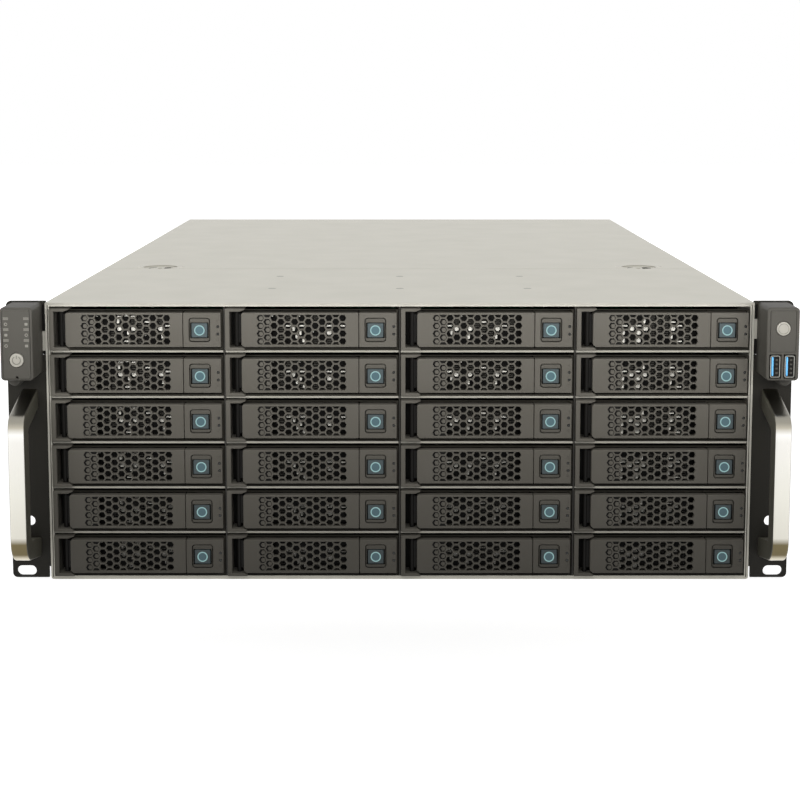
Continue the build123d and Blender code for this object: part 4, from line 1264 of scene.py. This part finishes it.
class BuildScrews(Operator):
    """Builds the pan head screws of the ears, handles and slot covers."""

    bl_idname = "server_chassis.screws"
    bl_label = "Build Screws"

    def execute(self, context):
        material = finishes()["bright_steel"]
        screws = []
        handle_x = middle_of("handle_right")[0]
        for side in (-1, 1):
            for height in EAR_SCREW_HEIGHTS:
                place = (side * (BODY_HALF + EAR_SHEET), EAR_FRONT + EAR_SCREW_SETBACK, height)
                screws.append(screw_surface(place, (0, side, 0), (0, 0, 1), 3.0))
            for height in HANDLE_SCREW_HEIGHTS:
                place = (side * handle_x, EAR_FRONT + EAR_SHEET, height)
                screws.append(screw_surface(place, (-1, 0, 0), (0, 0, 1), 6.9))
        ledge = corners_of("slot_covers")[1]
        for n in range(SLOT_COUNT):
            place = (SLOT_SCREW_X - SLOT_PITCH * n, ledge[1] - SLOT_SCREW_INSET, ledge[2])
            screws.append(screw_surface(place, (1, 0, 0), (0, 1, 0), 2.0))
        make_piece(
            "panel_screws_look", joined(*screws), [material], "chassis",
            ["panel_screws"],
        )
        return {"FINISHED"}


# Stage, in metres

STRIP_PLACE, STRIP_SIZE, STRIP_SPREAD = (0, -0.53, 0.2), (0.95, 0.07), math.radians(130)
WIDE_PLACES = {
    "left_light": (-1.7, 0.3, 1.0),
    "right_light": (1.7, 0.3, 1.0),
    "rear_light": (0, 2.1, 1.0),
}
WIDE_TARGET, WIDE_SIZE = (0, 0.1, 0.1), (1.4, 0.9)
FLOOR_HALF, NEAR_FLOOR, FAR_FLOOR, NEAR_GLOW = 6.0, 0.5, 1.5, 0.82


class BuildStage(Operator):
    """Sets the floor, the soft lights, the white backdrop and the camera."""

    bl_idname = "server_chassis.stage"
    bl_label = "Build Stage"

    def execute(self, context):
        stage = context.scene.chassis_stage
        self.build_floor()
        self.build_sky(stage.sky_level)
        strip = self.add_light(
            "key_light", STRIP_PLACE, (0, 0, STRIP_PLACE[2]), STRIP_SIZE, stage.key_power
        )
        strip.data.spread = STRIP_SPREAD
        wide = [
            self.add_light(name, place, WIDE_TARGET, WIDE_SIZE, stage.fill_power)
            for name, place in WIDE_PLACES.items()
        ]
        # No light mirrors in the sheet metal, where its bright edge would clip to white
        for light in (strip, *wide):
            light.visible_glossy = False
        self.build_camera(context, stage)
        context.scene.view_settings.view_transform = "Standard"
        return {"FINISHED"}

    def build_floor(self):
        """Pale floor that a camera sees as white, but for the object's shadow."""
        mesh = bpy.data.meshes.new("floor")
        half = FLOOR_HALF
        corners = [(-half, -half, 0), (half, -half, 0), (half, half, 0), (-half, half, 0)]
        mesh.from_pydata(corners, [], [(0, 1, 2, 3)])
        material = bpy.data.materials.new("matt_white_floor")
        material.use_nodes = True
        tree = material.node_tree
        tree.nodes.clear()
        matt = add_node(tree, "ShaderNodeBsdfDiffuse", {"Color": linear("#c9c9c8")})
        place = add_node(tree, "ShaderNodeTexCoord").outputs["Object"]
        away = add_node(tree, "ShaderNodeVectorMath", {0: place}, operation="LENGTH")
        strength = add_node(
            tree,
            "ShaderNodeMapRange",
            {
                "Value": away.outputs["Value"],
                "From Min": NEAR_FLOOR,
                "From Max": FAR_FLOOR,
                "To Min": NEAR_GLOW,
                "To Max": 1.0,
            },
        )
        glow = add_node(
            tree,
            "ShaderNodeEmission",
            {"Color": linear("#ffffff"), "Strength": strength.outputs["Result"]},
        )
        both = add_node(
            tree, "ShaderNodeAddShader", {0: matt.outputs[0], 1: glow.outputs[0]}
        )
        mixed = add_node(
            tree,
            "ShaderNodeMixShader",
            {0: plain_rays(tree), 1: matt.outputs[0], 2: both.outputs[0]},
        )
        add_node(tree, "ShaderNodeOutputMaterial", {"Surface": mixed.outputs[0]})
        mesh.materials.append(material)
        floor = bpy.data.objects.new("floor", mesh)
        bpy.context.scene.collection.objects.link(floor)

    def build_sky(self, level):
        """Even light from all round, which camera, mirror and glass rays see as plain white."""
        world = bpy.data.worlds.new("studio")
        bpy.context.scene.world = world
        world.use_nodes = True
        tree = world.node_tree
        tree.nodes.clear()
        strength = add_node(
            tree,
            "ShaderNodeMapRange",
            {"Value": plain_rays(tree), "To Min": level, "To Max": 1.0},
        )
        light = add_node(
            tree,
            "ShaderNodeBackground",
            {"Color": linear("#ffffff"), "Strength": strength.outputs["Result"]},
        )
        add_node(tree, "ShaderNodeOutputWorld", {"Surface": light.outputs[0]})

    def add_light(self, name, place, target, size, power):
        """A rectangular soft box that faces a point."""
        lamp = bpy.data.lights.new(name, "AREA")
        lamp.shape = "RECTANGLE"
        lamp.size, lamp.size_y = size
        lamp.energy = power
        light = bpy.data.objects.new(name, lamp)
        light.location = place
        light.rotation_euler = (Vector(target) - Vector(place)).to_track_quat("-Z", "Y").to_euler()
        light.visible_camera = False
        bpy.context.scene.collection.objects.link(light)
        return light

    def build_camera(self, context, stage):
        """Camera at the photograph's place, looking slightly down at the front."""
        lens = bpy.data.cameras.new("camera")
        lens.lens = stage.camera_lens
        lens.sensor_width = 36.0
        lens.shift_y = stage.camera_rise
        lens.clip_start, lens.clip_end = 0.05, 50.0
        camera = bpy.data.objects.new("camera", lens)
        camera.location = stage.camera_place
        camera.rotation_euler = (math.pi / 2 - stage.camera_drop, 0, 0)
        context.scene.collection.objects.link(camera)
        context.scene.camera = camera


class ChassisPanel(Panel):
    """Lists the steps that dress the chassis."""

    bl_idname = "VIEW3D_PT_server_chassis"
    bl_label = "Server Chassis"
    bl_space_type = "VIEW_3D"
    bl_region_type = "UI"
    bl_category = "Chassis"

    def draw(self, context):
        layout = self.layout
        for settings in (context.scene.chassis_trays, context.scene.chassis_stage):
            box = layout.box()
            for name in settings.bl_rna.properties.keys():
                if name not in {"rna_type", "name"}:
                    box.prop(settings, name)
        for operator in OPERATORS:
            layout.operator(operator.bl_idname)


OPERATORS = (
    FinishSheetMetal,
    BuildDriveTrays,
    BuildHandles,
    BuildControls,
    BuildCoverLatches,
    BuildScrews,
    BuildStage,
)
CLASSES = (ChassisTraySizes, ChassisStage, *OPERATORS, ChassisPanel)


def register():
    for cls in CLASSES:
        bpy.utils.register_class(cls)
    bpy.types.Scene.chassis_trays = PointerProperty(type=ChassisTraySizes)
    bpy.types.Scene.chassis_stage = PointerProperty(type=ChassisStage)


def unregister():
    del bpy.types.Scene.chassis_stage
    del bpy.types.Scene.chassis_trays
    for cls in reversed(CLASSES):
        bpy.utils.unregister_class(cls)


def main():
    """Registers the add-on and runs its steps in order."""
    register()
    for operator in OPERATORS:
        group, name = operator.bl_idname.split(".")
        getattr(getattr(bpy.ops, group), name)()


if __name__ == "__main__":
    main()
